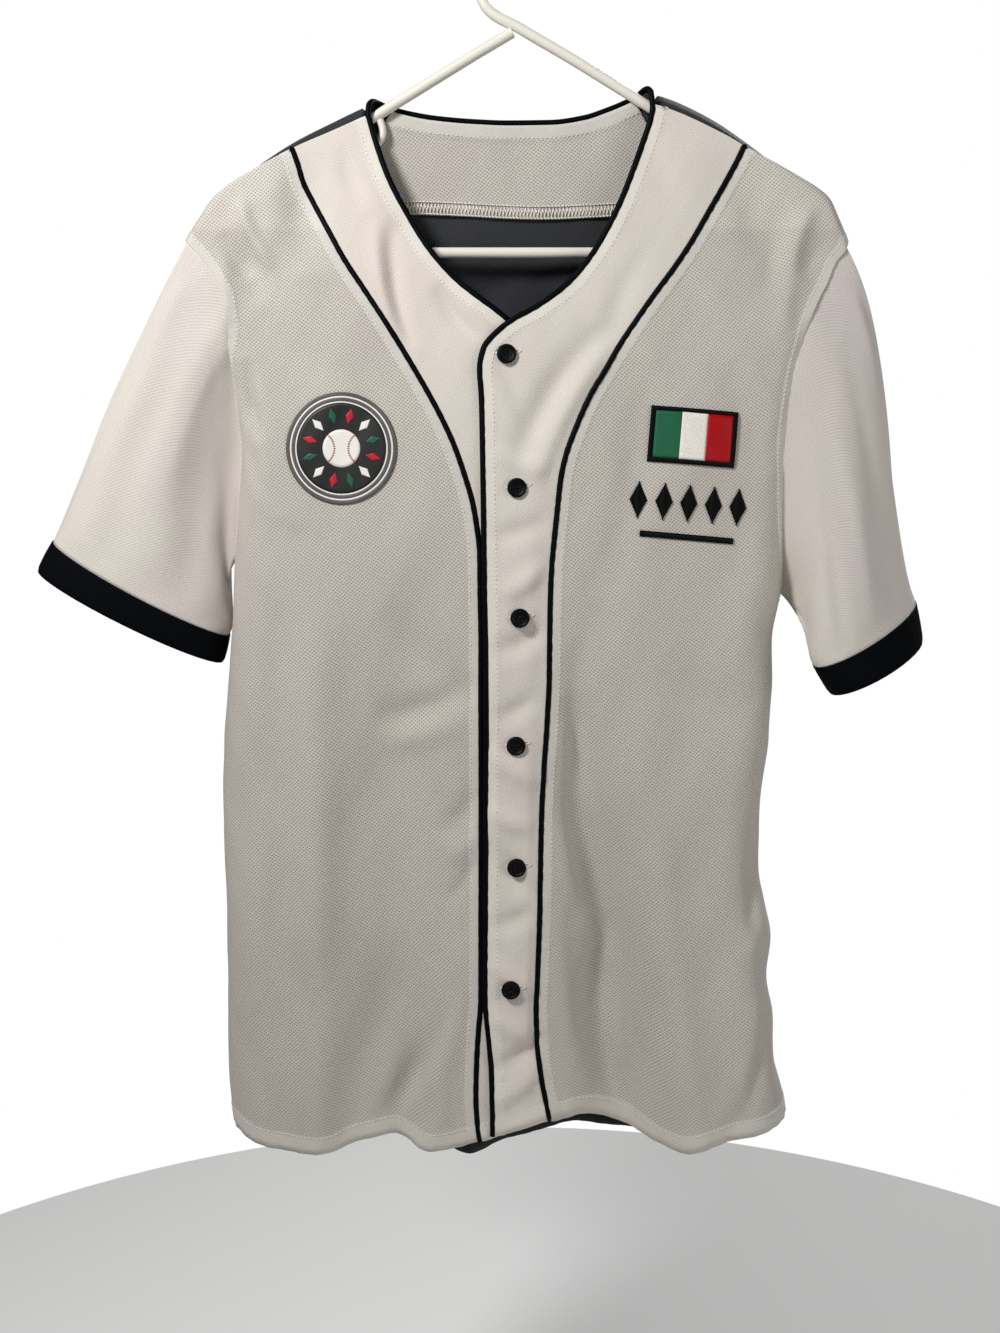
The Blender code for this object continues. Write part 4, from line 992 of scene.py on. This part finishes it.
def makeCuff(side):
    _, share = sleeveShares()
    high, low = oval(side, "top", share), oval(side, "foot", share)
    v = np.linspace(0, 1, cuffs["rows"] + 1)[:, None, None]
    points = low + (high - low) * v
    outward = unit(points - points.mean(axis=1, keepdims=True))
    vv = v[..., 0]
    swell = cuffs["proud"] + 0.5 * np.sin(math.pi * vv) - 0.9 * (1 - soft(vv / 0.12))
    wave = 0.25 * np.sin(2 * math.pi * share[None, :] * 31) * (0.3 + 0.7 * vv)
    points = points + outward * (swell + wave)[..., None]
    uv = np.stack(np.broadcast_arrays(running(low)[None, :], vv * 24), -1) * mm
    marks = {"seam": np.full(points.shape[:2], body["noSeam"])}
    name = sideName("cuff", side)
    piece = sheet(name, points[:, ::-side], uv[:, ::-side], marks, cuffs["wall"], closed=True)
    keep(piece, cuffRib, "trim_satin", "cuff_" + sideWords[side])


for side in (left, right):
    makeCuff(side)
print("cuffs made")

# the left placket edge is covered by the right band below leftFoot
piping = {"radius": 2.15, "level": -0.5, "neckLevel": 0.6, "leftFoot": -277}


def tube(name, points, radius, sides=5):
    curve = bpy.data.curves.new(name, "CURVE")
    curve.dimensions = "3D"
    curve.bevel_depth = radius * mm
    curve.bevel_resolution = sides
    curve.use_fill_caps = True
    spline = curve.splines.new("POLY")
    spline.points.add(len(points) - 1)
    for place, point in zip(spline.points, points):
        place.co = (*(np.asarray(point) * mm), 1)
    spline.use_smooth = True
    return placed(name, curve)


def pipingRun(points, splitHeight, lifted):
    rows = evenly(endedOnSeam(front, seamRows(points, splitHeight), 0.2), 330)
    lift = placketLift(rows[:, 0], rows[:, 1]) if lifted else 0 * rows[:, 0]
    return clothPoint(front, rows[:, 0], rows[:, 1], lift + piping["level"])[0]


for side in (left, right):
    run = pipingRun(seams["princess"][side], seams["splitHeight"], False)
    keep(tube(sideName("pipingPrincess", side), run, piping["radius"]), pipingSatin, "trim_satin",
         "piping_princess_" + sideWords[side])
neckLine = evenly(smoothLine(seams["neckBack"]), 160)
neckRun = clothPoint(back, neckLine[:, 0], neckLine[:, 1], np.full(160, piping["neckLevel"]), 0.0)[0]
edgeRight = pipingRun(seams["edge"][right], seams["edgeSplit"], True)
edgeLeft = pipingRun(seams["edge"][left], seams["edgeSplit"], False)
edgeLeft = edgeLeft[edgeLeft[:, 2] > piping["leftFoot"]]
wholeRun = np.concatenate([edgeRight, neckRun[::-1][2:-2], edgeLeft[::-1]])
keep(tube("pipingNeckAndPlacket", wholeRun, piping["radius"]), pipingSatin, "trim_satin",
     "piping_neck_and_placket")
print("piping made")

hanger = {
    "tube": 3.75,
    "strapTube": 2.7,
    # hook: across, height
    "hook": [
        (26.5, -27), (26, -17), (21.5, -6.5), (13, 1.2), (0, 4), (-13, 1.2), (-23, -8), (-28, -21),
        (-29, -35), (-28, -45), (-25.2, -52), (-21, -57), (-15.5, -61), (-8, -64.6), (0, -68.5),
    ],
    "arm": [(40, -91), (86, -118.3), (107, -130.6), (135, -143), (163, -156), (180, -166)],
    "endCentre": (183, -198.5),
    "endRadius": 25.0,
    "joint": (-5.5, -71.2),
    "strap": [(100, -131), (98.2, -137.5), (98.6, -142.5), (101.5, -147), (105.5, -150.5)],
}


def roundedPath(points, stepLength=1.5):
    # a smooth path through points of any dimension, by cardinal splines
    points = np.array(points, float)
    padded = np.concatenate([2 * points[:1] - points[1:2], points, 2 * points[-1:] - points[-2:-1]])
    path = []
    for k in range(1, len(padded) - 2):
        a, b, c, d = padded[k - 1 : k + 3]
        count = max(2, int(np.linalg.norm(c - b) / stepLength))
        t = np.arange(count)[:, None] / count
        bend, twist = 2 * a - 5 * b + 4 * c - d, 3 * b - a - 3 * c + d
        path.append(0.5 * (2 * b + (c - a) * t + bend * t**2 + twist * t**3))
    return np.concatenate(path + [points[-1:]])


def makeHanger():
    def arm(side):
        points = [(side * x, z) for x, z in hanger["arm"]]
        # the rounded end, from the arm down to the bar
        for turn in np.radians(np.linspace(58, -90, 9)):
            x = hanger["endCentre"][0] + hanger["endRadius"] * math.cos(turn)
            points.append((side * x, hanger["endCentre"][1] + hanger["endRadius"] * math.sin(turn)))
        return points

    rightArm, leftArm = arm(right), arm(left)
    level = rightArm[-1][1]
    run = hanger["hook"] + [(12, -75.3)] + rightArm + [(140, level), (60, level), (-60, level), (-140, level)]
    run += leftArm[::-1] + [(-20, -79.5), hanger["joint"]]
    points = roundedPath([(x, 0, z) for x, z in run])
    keep(tube("hangerTube", points, hanger["tube"], 7), hangerPlastic, "hanger_plastic", "hanger")
    for side in (left, right):
        points = roundedPath([(side * x, 0, z) for x, z in hanger["strap"]], 0.8)
        keep(tube(sideName("hangerStrap", side), points, hanger["strapTube"], 6), hangerPlastic,
             "hanger_plastic", "hanger_strap_hook_" + sideWords[side])


makeHanger()
print("hanger made")

buttons = {
    "places": [(-9.5, -297.8), (-2.1, -392.1), (0.2, -485.3), (-2.5, -578.6), (-1.9, -669.8), (-6, -760.7)],
    # half of the turned outline, from the middle of the back to the middle of the face: radius, height
    "profile": [
        (0, 0), (6.2, 0), (6.8, 0.35), (7.0, 1.0), (7.0, 1.7), (6.75, 2.3), (6.2, 2.6), (5.7, 2.62),
        (5.2, 2.45), (4.8, 2.05), (4.2, 1.85), (3.0, 1.78), (0, 1.75),
    ],
    "holeCircle": 1.5,
    "holeRadius": 0.62,
    # threads between the holes: how far off the middle, length
    "threadOff": 1.06,
    "threadLength": 3.0,
}


def spot(across, height, out):
    # one point of the front and its normal
    return clothPoint(front, np.array(across), np.array(height), out)


def makeButton(number, across, height):
    here, _ = spot(across, height, placketLift(across, height) + 0.5)
    _, normal = normalAt(front, np.array(across), np.array(height))
    turned = Vector(normal).to_track_quat("Z", "X").to_matrix().to_4x4()
    place = Matrix.Translation(Vector(here) * mm) @ turned
    bm = bmesh.new()
    verts = [bm.verts.new((radius * mm, 0, z * mm)) for radius, z in buttons["profile"]]
    edges = [bm.edges.new(pair) for pair in zip(verts, verts[1:])]
    bmesh.ops.spin(
        bm, geom=verts + edges, cent=(0, 0, 0), axis=(0, 0, 1), dvec=(0, 0, 0), angle=2 * math.pi,
        steps=48, use_merge=True, use_duplicate=False,
    )
    bmesh.ops.remove_doubles(bm, verts=bm.verts, dist=0.002 * mm)
    bmesh.ops.recalc_face_normals(bm, faces=bm.faces)
    solid = placed("buttonBody", meshOf("buttonBody", bm))
    bm = bmesh.new()
    for k in range(4):
        turn = math.pi / 4 + k * math.pi / 2
        centre = Vector((math.cos(turn), math.sin(turn), 0)) * buttons["holeCircle"] + Vector((0, 0, 1.5))
        bmesh.ops.create_cone(
            bm, cap_ends=True, segments=14, radius1=buttons["holeRadius"] * mm,
            radius2=buttons["holeRadius"] * mm, depth=6 * mm, matrix=Matrix.Translation(centre * mm),
        )
    holes = placed("buttonHoles", meshOf("buttonHoles", bm))
    cut = solid.modifiers.new("holes", "BOOLEAN")
    cut.object = holes
    cut.operation = "DIFFERENCE"
    cut.solver = "EXACT"
    done = bpy.data.meshes.new_from_object(solid.evaluated_get(bpy.context.evaluated_depsgraph_get()))
    done.transform(place)
    done.shade_smooth()
    for scrap in (solid, holes):
        bpy.data.objects.remove(scrap, do_unlink=True)
    keep(placed("button" + str(number), done), buttonPlastic, "button_plastic", "button_" + str(number))
    return place


buttonPlaces = [makeButton(k, *place) for k, place in enumerate(buttons["places"], 1)]
print("buttons made")

stitching = {
    "length": 2.5, "pitch": 3.2, "width": 0.85, "height": 0.75,
    # how far the rows lie from the seams, the hems, the placket's edge, the facing's top and the back neck
    "fromSeam": 5.8, "fromHem": 12.8, "fromEdge": 6.8, "fromFacingTop": 8.6, "fromNeck": 6.0,
    # how far they stand above the cloth's form, and where the left edge's row ends
    "seamProud": 0.45, "hemProud": 0.55, "edgeProud": 0.4, "leftFoot": -272,
    # on the facing, which lies behind the back's form: how far proud, and length, width, height
    "facingProud": -3.75, "facingStitch": (2.5, 0.75, 0.55),
}


def stitchShape():
    bm = bmesh.new()
    bmesh.ops.create_icosphere(bm, subdivisions=1, radius=0.5)
    bm.verts.index_update()
    points = np.array([vert.co[:] for vert in bm.verts])
    faces = [[vert.index for vert in face.verts] for face in bm.faces]
    bm.free()
    return points, faces


stitchPoints, stitchFaces = stitchShape()


def makeStitches(name, stitches, material, slot):
    # each stitch: middle, direction, normal, length, width, height
    points, faces = [], []
    for middle, run, normal, length, width, height in stitches:
        run = unit(run)
        cross = unit(np.cross(normal, run))
        up = np.cross(run, cross)
        base = len(points) * len(stitchPoints)
        turned = np.outer(stitchPoints[:, 0] * length, run) + np.outer(stitchPoints[:, 1] * width, cross)
        points.append(middle + turned + np.outer(stitchPoints[:, 2] * height, up))
        faces += [[index + base for index in face] for face in stitchFaces]
    mesh = bpy.data.meshes.new(name)
    mesh.from_pydata((np.concatenate(points) * mm).tolist(), [], faces)
    mesh.shade_smooth()
    keep(placed(name, mesh), material, slot)


def clothRun(face, line, out, pitch=None, lively=1.0):
    # places along a line on the cloth: point, direction, normal
    pitch = pitch or stitching["pitch"]
    count = max(int(running(line)[-1] / pitch), 2)
    rows = evenly(line, count + 1)
    lift = out(rows[:, 0], rows[:, 1]) if callable(out) else np.full(len(rows), float(out))
    points, normals = clothPoint(face, rows[:, 0], rows[:, 1], lift, lively)
    runs = np.diff(points, axis=0)
    return (points[:-1] + points[1:]) / 2, runs, (normals[:-1] + normals[1:]) / 2


def topstitch(face, line, out, lively=1.0):
    size = [stitching[key] for key in ("length", "width", "height")]
    return [(at, run, up, *size) for at, run, up in zip(*clothRun(face, line, out, None, lively))]


def belowCrest(line):
    return line[line[:, 1] < crestAt(line[:, 0]) - 3.0]


def allTopstitching():
    white = []
    aboveHem = np.array([0, stitching["fromHem"]])
    seamProud, hemProud, edgeProud = (stitching[key] for key in ("seamProud", "hemProud", "edgeProud"))
    for side in (left, right):
        panel, band = panels[side], bandPieces[side]
        lapped = placketLift if side == right else lambda across, height: 0 * across
        white += topstitch(front, shifted(panel["inner"], side * stitching["fromSeam"]), seamProud)
        armhole = shifted(panel["outer"][body["lowRows"] - 2 :], -side * stitching["fromSeam"])
        white += topstitch(front, armhole, seamProud)
        white += topstitch(front, panel["foot"] + aboveHem, hemProud)
        white += topstitch(front, band["foot"] + aboveHem, lambda x, z: lapped(x, z) + hemProud)
        edge = shifted(band["inner"], side * stitching["fromEdge"])
        edge = edge[edge[:, 1] < seamHeight(front, edge[:, 0], 2.0)]
        if side == left:
            edge = edge[edge[:, 1] > stitching["leftFoot"]]
        white += topstitch(front, edge, lambda x, z: lapped(x, z) + edgeProud)
    line = belowCrest(shifted(facingPiece["top"], stitching["fromFacingTop"]))
    for at, run, up in zip(*clothRun(back, line, stitching["facingProud"], None, 0.6)):
        white.append((at, run, -up, *stitching["facingStitch"]))
    return white


makeStitches("topstitchWhite", allTopstitching(), threadWhite, "band_mesh")
blackHem = backPiece["foot"] + np.array([0, stitching["fromHem"]])
blackNeck = belowCrest(shifted(backPiece["neck"], stitching["fromNeck"]))
blackRuns = topstitch(back, blackHem, stitching["hemProud"]) + topstitch(back, blackNeck, 0.1, 0.9)
makeStitches("topstitchBlack", blackRuns, threadBlack, "trim_satin")
print("topstitching made")


overlock = {
    # middle of the band above the facing's foot, distance of each chain from it, stitch length along it
    "middle": 5.0, "chain": 4.2, "pitch": 2.5,
    # cross threads and chain loops: how far behind the back's form, and length, width, height
    "crossProud": -3.7, "crosses": ((9.6, 1.0, 0.9), (8.8, 0.7, 0.7)),
    "chainProud": -3.9, "loop": (3.0, 1.3, 1.2),
}


def facingOverlock():
    # overlock along the facing's raw lower edge: cross threads between two chains of loops
    def runAt(rise, proud):
        line = facingPiece["foot"] + np.array([0, overlock["middle"] + rise])
        return zip(*clothRun(back, line, proud, overlock["pitch"], 0.6))

    threads = []
    for at, run, up in runAt(0, overlock["crossProud"]):
        threads.append((at, np.array([0.25, 0, 1.0]), -up, *overlock["crosses"][0]))
        threads.append((at + run * 0.5, np.array([-0.3, 0, 1.0]), -up, *overlock["crosses"][1]))
    for rise in (-overlock["chain"], overlock["chain"]):
        for at, run, up in runAt(rise, overlock["chainProud"]):
            threads.append((at, run, -up, *overlock["loop"]))
    return threads


makeStitches("facingOverlock", facingOverlock(), threadWhite, "panel_mesh")


def buttonThreads():
    # two crossed pairs of threads through the four holes
    threads = []
    off, length = buttons["threadOff"], buttons["threadLength"]
    for place in buttonPlaces:
        turned = np.array(place.to_3x3())
        centre = np.array(place.translation) / mm
        for way in (1, -1):
            middle = centre + turned @ np.array([0, way * off, 1.85])
            threads.append((middle, turned[:, 0], turned[:, 2], length, 0.7, 0.7))
        for way in (-1, 1):
            middle = centre + turned @ np.array([way * off, 0, 1.8])
            threads.append((middle, turned[:, 1], turned[:, 2], length, 0.6, 0.6))
    return threads


makeStitches("buttonThreads", buttonThreads(), threadBlack, "trim_satin")

slit = {
    # middle from the button's, half sizes, slant, and length, width, height of its stitches
    "offset": (1.5, 1.2), "half": (8.6, 1.5), "slant": 0.12, "count": 44, "stitch": (1.9, 0.7, 0.5),
    "proud": 0.35,
}


def buttonholeStitches():
    # a bar of close stitches round each slit, which shows just past the button
    threads = []
    for across, height in buttons["places"]:
        for k in range(slit["count"]):
            turn = 2 * math.pi * k / slit["count"]
            x = across + slit["offset"][0] + slit["half"][0] * math.cos(turn)
            z = height + slit["offset"][1] + slit["half"][1] * math.sin(turn) + slit["slant"] * (x - across)
            at, up = spot(x, z, placketLift(x, z) + slit["proud"])
            threads.append((at, np.array([math.cos(turn), 0, math.sin(turn)]), up, *slit["stitch"]))
    return threads


makeStitches("buttonholes", buttonholeStitches(), threadWhite, "band_mesh")
print("buttonholes and overlock made")

badge = {
    "centre": (-128, -364),
    # rings from the rim inwards: name, outer radius, inner radius, how far proud, material
    "rings": [
        ("Rim", 40.0, 37.2, 1.0, badgeCharcoal), ("LineOuter", 37.2, 36.0, 1.05, badgeWhite),
        ("Border", 36.0, 33.4, 1.0, badgeCharcoal), ("LineInner", 33.4, 32.4, 1.05, badgeWhite),
        ("Field", 32.4, 0.0, 0.95, badgeBlack),
    ],
    "ball": 13.5,
    "markCount": 12,
    "markRing": 23.5,
    "markHalf": (5.6, 2.9),
    # the ball's stitched seams: radius, how far out their centres lie, stitches in each
    "seamRadius": 12.5,
    "seamCentre": 17.5,
    "seamStitches": 15,
}


def laidRing(name, centre, outer, inner, proud, thickness, material, slot, nodes=(), steps=96):
    rings = max(3, int((outer - inner) / 2))
    radii = np.linspace(inner, outer, rings + 1)[:, None]
    turn = np.linspace(0, 2 * math.pi, steps + 1)[None, :]
    across, height = centre[0] + radii * np.cos(turn), centre[1] + radii * np.sin(turn)
    points, _ = clothPoint(front, across, height, np.full(across.shape, proud))
    grid = np.stack([across, height], -1) * mm
    marks = {"seam": np.full(across.shape, body["noSeam"])}
    piece = sheet(name, points[::-1], grid[::-1], marks, thickness, closed=True)
    keep(piece, material, slot, *nodes)


def tilted(centre, tilt, a, b):
    # a place on the cloth, a along a direction tilted in degrees and b square to it
    cos, sin = math.cos(math.radians(tilt)), math.sin(math.radians(tilt))
    return centre[0] + a * cos - b * sin, centre[1] + a * sin + b * cos


def laidPlate(name, centre, half, tilt, proud, thickness, material, slot, nodes=(), outline=None,
              cells=(24, 14)):
    u, v = np.meshgrid(np.linspace(-1, 1, cells[0] + 1), np.linspace(-1, 1, cells[1] + 1))
    a, b = outline(u, v) if outline else (u, v)
    a, b = a * half[0], b * half[1]
    across, height = tilted(centre, tilt, a, b)
    points, _ = clothPoint(front, across, height, np.full(across.shape, proud))
    marks = {"seam": np.full(across.shape, body["noSeam"])}
    piece = sheet(name, points, np.stack([a, b], -1) * mm, marks, thickness)
    keep(piece, material, slot, *nodes)


def diamondOutline(u, v):
    return u, v * np.maximum(1 - np.abs(u), 0.05)


def makeBadge():
    centre = badge["centre"]
    for word, outer, inner, proud, material in badge["rings"]:
        nodes = ("badge",) if word == "Field" else ()
        laidRing("badge" + word, centre, outer, inner, proud, 0.6, material, "badge_transfer", nodes)
    laidRing("badgeBall", centre, badge["ball"], 0.0, 1.25, 0.4, badgeWhite, "badge_transfer", (), 64)
    colours = (badgeGreen, badgeWhite, badgeRed)
    for k in range(badge["markCount"]):
        tilt = 360 * (k + 0.5) / badge["markCount"]
        place = tilted(centre, tilt, badge["markRing"], 0)
        laidPlate("badgeMark" + str(k + 1), place, badge["markHalf"], tilt, 1.2, 0.35, colours[k % 3],
                  "badge_transfer", (), diamondOutline, (10, 4))
    threads = []
    for side in (left, right):
        for turn in np.radians(np.linspace(-52, 52, badge["seamStitches"])):
            x = centre[0] + side * (badge["seamCentre"] - badge["seamRadius"] * math.cos(turn))
            at, up = spot(x, centre[1] + badge["seamRadius"] * math.sin(turn) * 0.98, 1.45)
            for lean in (0.55, -0.55):
                run = np.array([side * math.cos(turn) + lean * math.sin(turn) * 0.4, 0, lean])
                threads.append((at, run, up, 1.9, 0.55, 0.4))
    makeStitches("badgeBallStitches", threads, threadRed, "badge_transfer")


makeBadge()
print("badge made")

flag = {
    "centre": (124.3, -355.6),
    "half": (31.5, 20.0),
    "tilt": -4.6,
    "border": 3.6,
    "stripe": 18.6,
    # how far proud and how thick the ground and the stripes are, and how far proud the border's threads
    "ground": (1.1, 0.8),
    "stripes": (1.75, 0.5),
    "threadProud": 1.6,
}


def makeFlag():
    laidPlate("flagPatch", flag["centre"], flag["half"], flag["tilt"], *flag["ground"], patchTwill,
              "trim_satin", ("flag_patch",))
    stripes = (
        (left, "left", flagGreen, "flag_green"), (0, "middle", flagWhite, "flag_white"),
        (right, "right", flagRed, "flag_red"),
    )
    half = (flag["stripe"] / 2, flag["half"][1] - flag["border"] + 0.4)
    for place, word, material, slot in stripes:
        centre = tilted(flag["centre"], flag["tilt"], place * flag["stripe"], 0)
        laidPlate("flagStripe" + word.capitalize(), centre, half, flag["tilt"], *flag["stripes"], material,
                  slot, ("flag_stripe_" + word,), None, (10, 14))
    threads = []
    halfX, halfZ = flag["half"][0] - flag["border"] / 2, flag["half"][1] - flag["border"] / 2
    corners = [(-halfX, -halfZ), (halfX, -halfZ), (halfX, halfZ), (-halfX, halfZ), (-halfX, -halfZ)]
    for (x0, z0), (x1, z1) in zip(corners, corners[1:]):
        count = int(math.hypot(x1 - x0, z1 - z0) / 0.62)
        for k in range(count + 1):
            a, b = x0 + (x1 - x0) * k / count, z0 + (z1 - z0) * k / count
            at, up = spot(*tilted(flag["centre"], flag["tilt"], a, b), flag["threadProud"])
            run = np.array([0, 0, 1.0]) if z0 == z1 else np.array([1.0, 0, 0])
            threads.append((at, run, up, flag["border"] + 0.5, 0.8, 1.3))
    makeStitches("flagBorder", threads, threadBlack, "trim_satin")


makeFlag()
print("flag made")

motif = {
    "places": [(85.5, -400.4), (103.5, -401.8), (121.5, -403.2), (139.5, -404.6), (157.5, -406)],
    "half": (13, 6.2),
    "tilt": 86,
    "bar": (120.5, -427.5),
    "barHalf": (34, 2.2),
    "barTilt": -5,
    # how far proud and how thick the shapes are, and how far proud their threads
    "ground": (1.0, 0.7),
    "threadProud": 1.05,
}


def satinFill(centre, half, tilt, proud, outline, pitch=0.6):
    # satin stitches side by side across a shape
    turn = math.radians(tilt)
    threads = []
    count = int(2 * half[0] / pitch)
    for k in range(count + 1):
        u = 2 * k / count - 1
        wide = float(outline(np.array(u), np.array(1.0))[1]) if outline else 1.0
        at, up = spot(*tilted(centre, tilt, u * half[0], 0), proud)
        run = np.array([-math.sin(turn), 0, math.cos(turn)])
        threads.append((at, run, up, max(2 * half[1] * wide, 0.8) + 0.6, 0.8, 0.9))
    return threads


def makeMotif():
    threads = []
    for k, place in enumerate(motif["places"], 1):
        laidPlate("motifDiamond" + str(k), place, motif["half"], motif["tilt"], *motif["ground"], patchTwill,
                  "trim_satin", ("motif_diamond_" + str(k),), diamondOutline, (20, 6))
        threads += satinFill(place, motif["half"], motif["tilt"], motif["threadProud"], diamondOutline)
    bar = motif["bar"], motif["barHalf"], motif["barTilt"]
    laidPlate("motifBar", *bar, *motif["ground"], patchTwill, "trim_satin", ("motif_bar",), None, (40, 4))
    threads += satinFill(*bar, motif["threadProud"], None)
    makeStitches("motifStitches", threads, threadBlack, "trim_satin")


makeMotif()
print("motif made")

stage = {"floor": -1.3, "radius": 0.93, "floorColour": "#fbfbfa", "skyColour": "#ffffff", "skyStrength": 0.15}


def makeStage():
    bm = bmesh.new()
    bmesh.ops.create_circle(bm, cap_ends=True, segments=128, radius=stage["radius"])
    bmesh.ops.translate(bm, verts=bm.verts, vec=(0, 0, stage["floor"]))
    floor = placed("floor", meshOf("floor", bm))
    material, _, shader = newMaterial("paintedFloorWhite", 0.9, 0.1)
    shader.inputs["Base Color"].default_value = toLinear(stage["floorColour"])
    floor.data.materials.append(material)
    world = bpy.data.worlds.new("studio")
    bpy.context.scene.world = world
    world.use_nodes = True
    tree = world.node_tree
    out = next(n for n in tree.nodes if n.type == "OUTPUT_WORLD")
    sky = toLinear(stage["skyColour"])
    light = addNode(tree, "Background", "Background", {"Color": sky, "Strength": stage["skyStrength"]})
    seen = addNode(tree, "Background", "Background", {"Color": sky, "Strength": 1.0})
    camera = addNode(tree, "LightPath", "Is Camera Ray")
    mix = addNode(tree, "MixShader", "Shader", None, {0: camera, 1: light, 2: seen})
    tree.links.new(mix, out.inputs["Surface"])


def areaLight(name, place, aim, size, power):
    light = bpy.data.lights.new(name, "AREA")
    light.shape = "DISK"
    light.size = size
    light.energy = power
    lamp = placed(name, light)
    lamp.location = place
    lamp.rotation_euler = (Vector(aim) - Vector(place)).to_track_quat("-Z", "Y").to_euler()


makeStage()
# place, aim, size in metres, power in watts
lights = {
    "keyLight": ((-0.68, -0.78, 0.32), (0, 0, -0.4), 0.3, 14.5),
    "fillLight": ((0.95, -0.65, -0.4), (0, 0, -0.45), 0.8, 3.8),
    "backLight": ((0.9, 1.5, 0.9), (0, 0, -0.5), 0.8, 22),
}
for name, values in lights.items():
    areaLight(name, *values)

camera = {"place": (-0.0142, -1.1118, -0.3881), "pitch": 83.0, "lens": 40.51, "sensor": 36.0}
lensData = bpy.data.cameras.new("camera")
lensData.sensor_width = camera["sensor"]
lensData.lens = camera["lens"]
lensData.clip_start = 0.05
viewer = placed("camera", lensData)
viewer.location = camera["place"]
viewer.rotation_euler = (math.radians(camera["pitch"]), 0, 0)
bpy.context.scene.camera = viewer
bpy.context.scene.view_settings.view_transform = "Standard"
bpy.context.scene.view_settings.look = "None"
print("stage, lights and camera made")
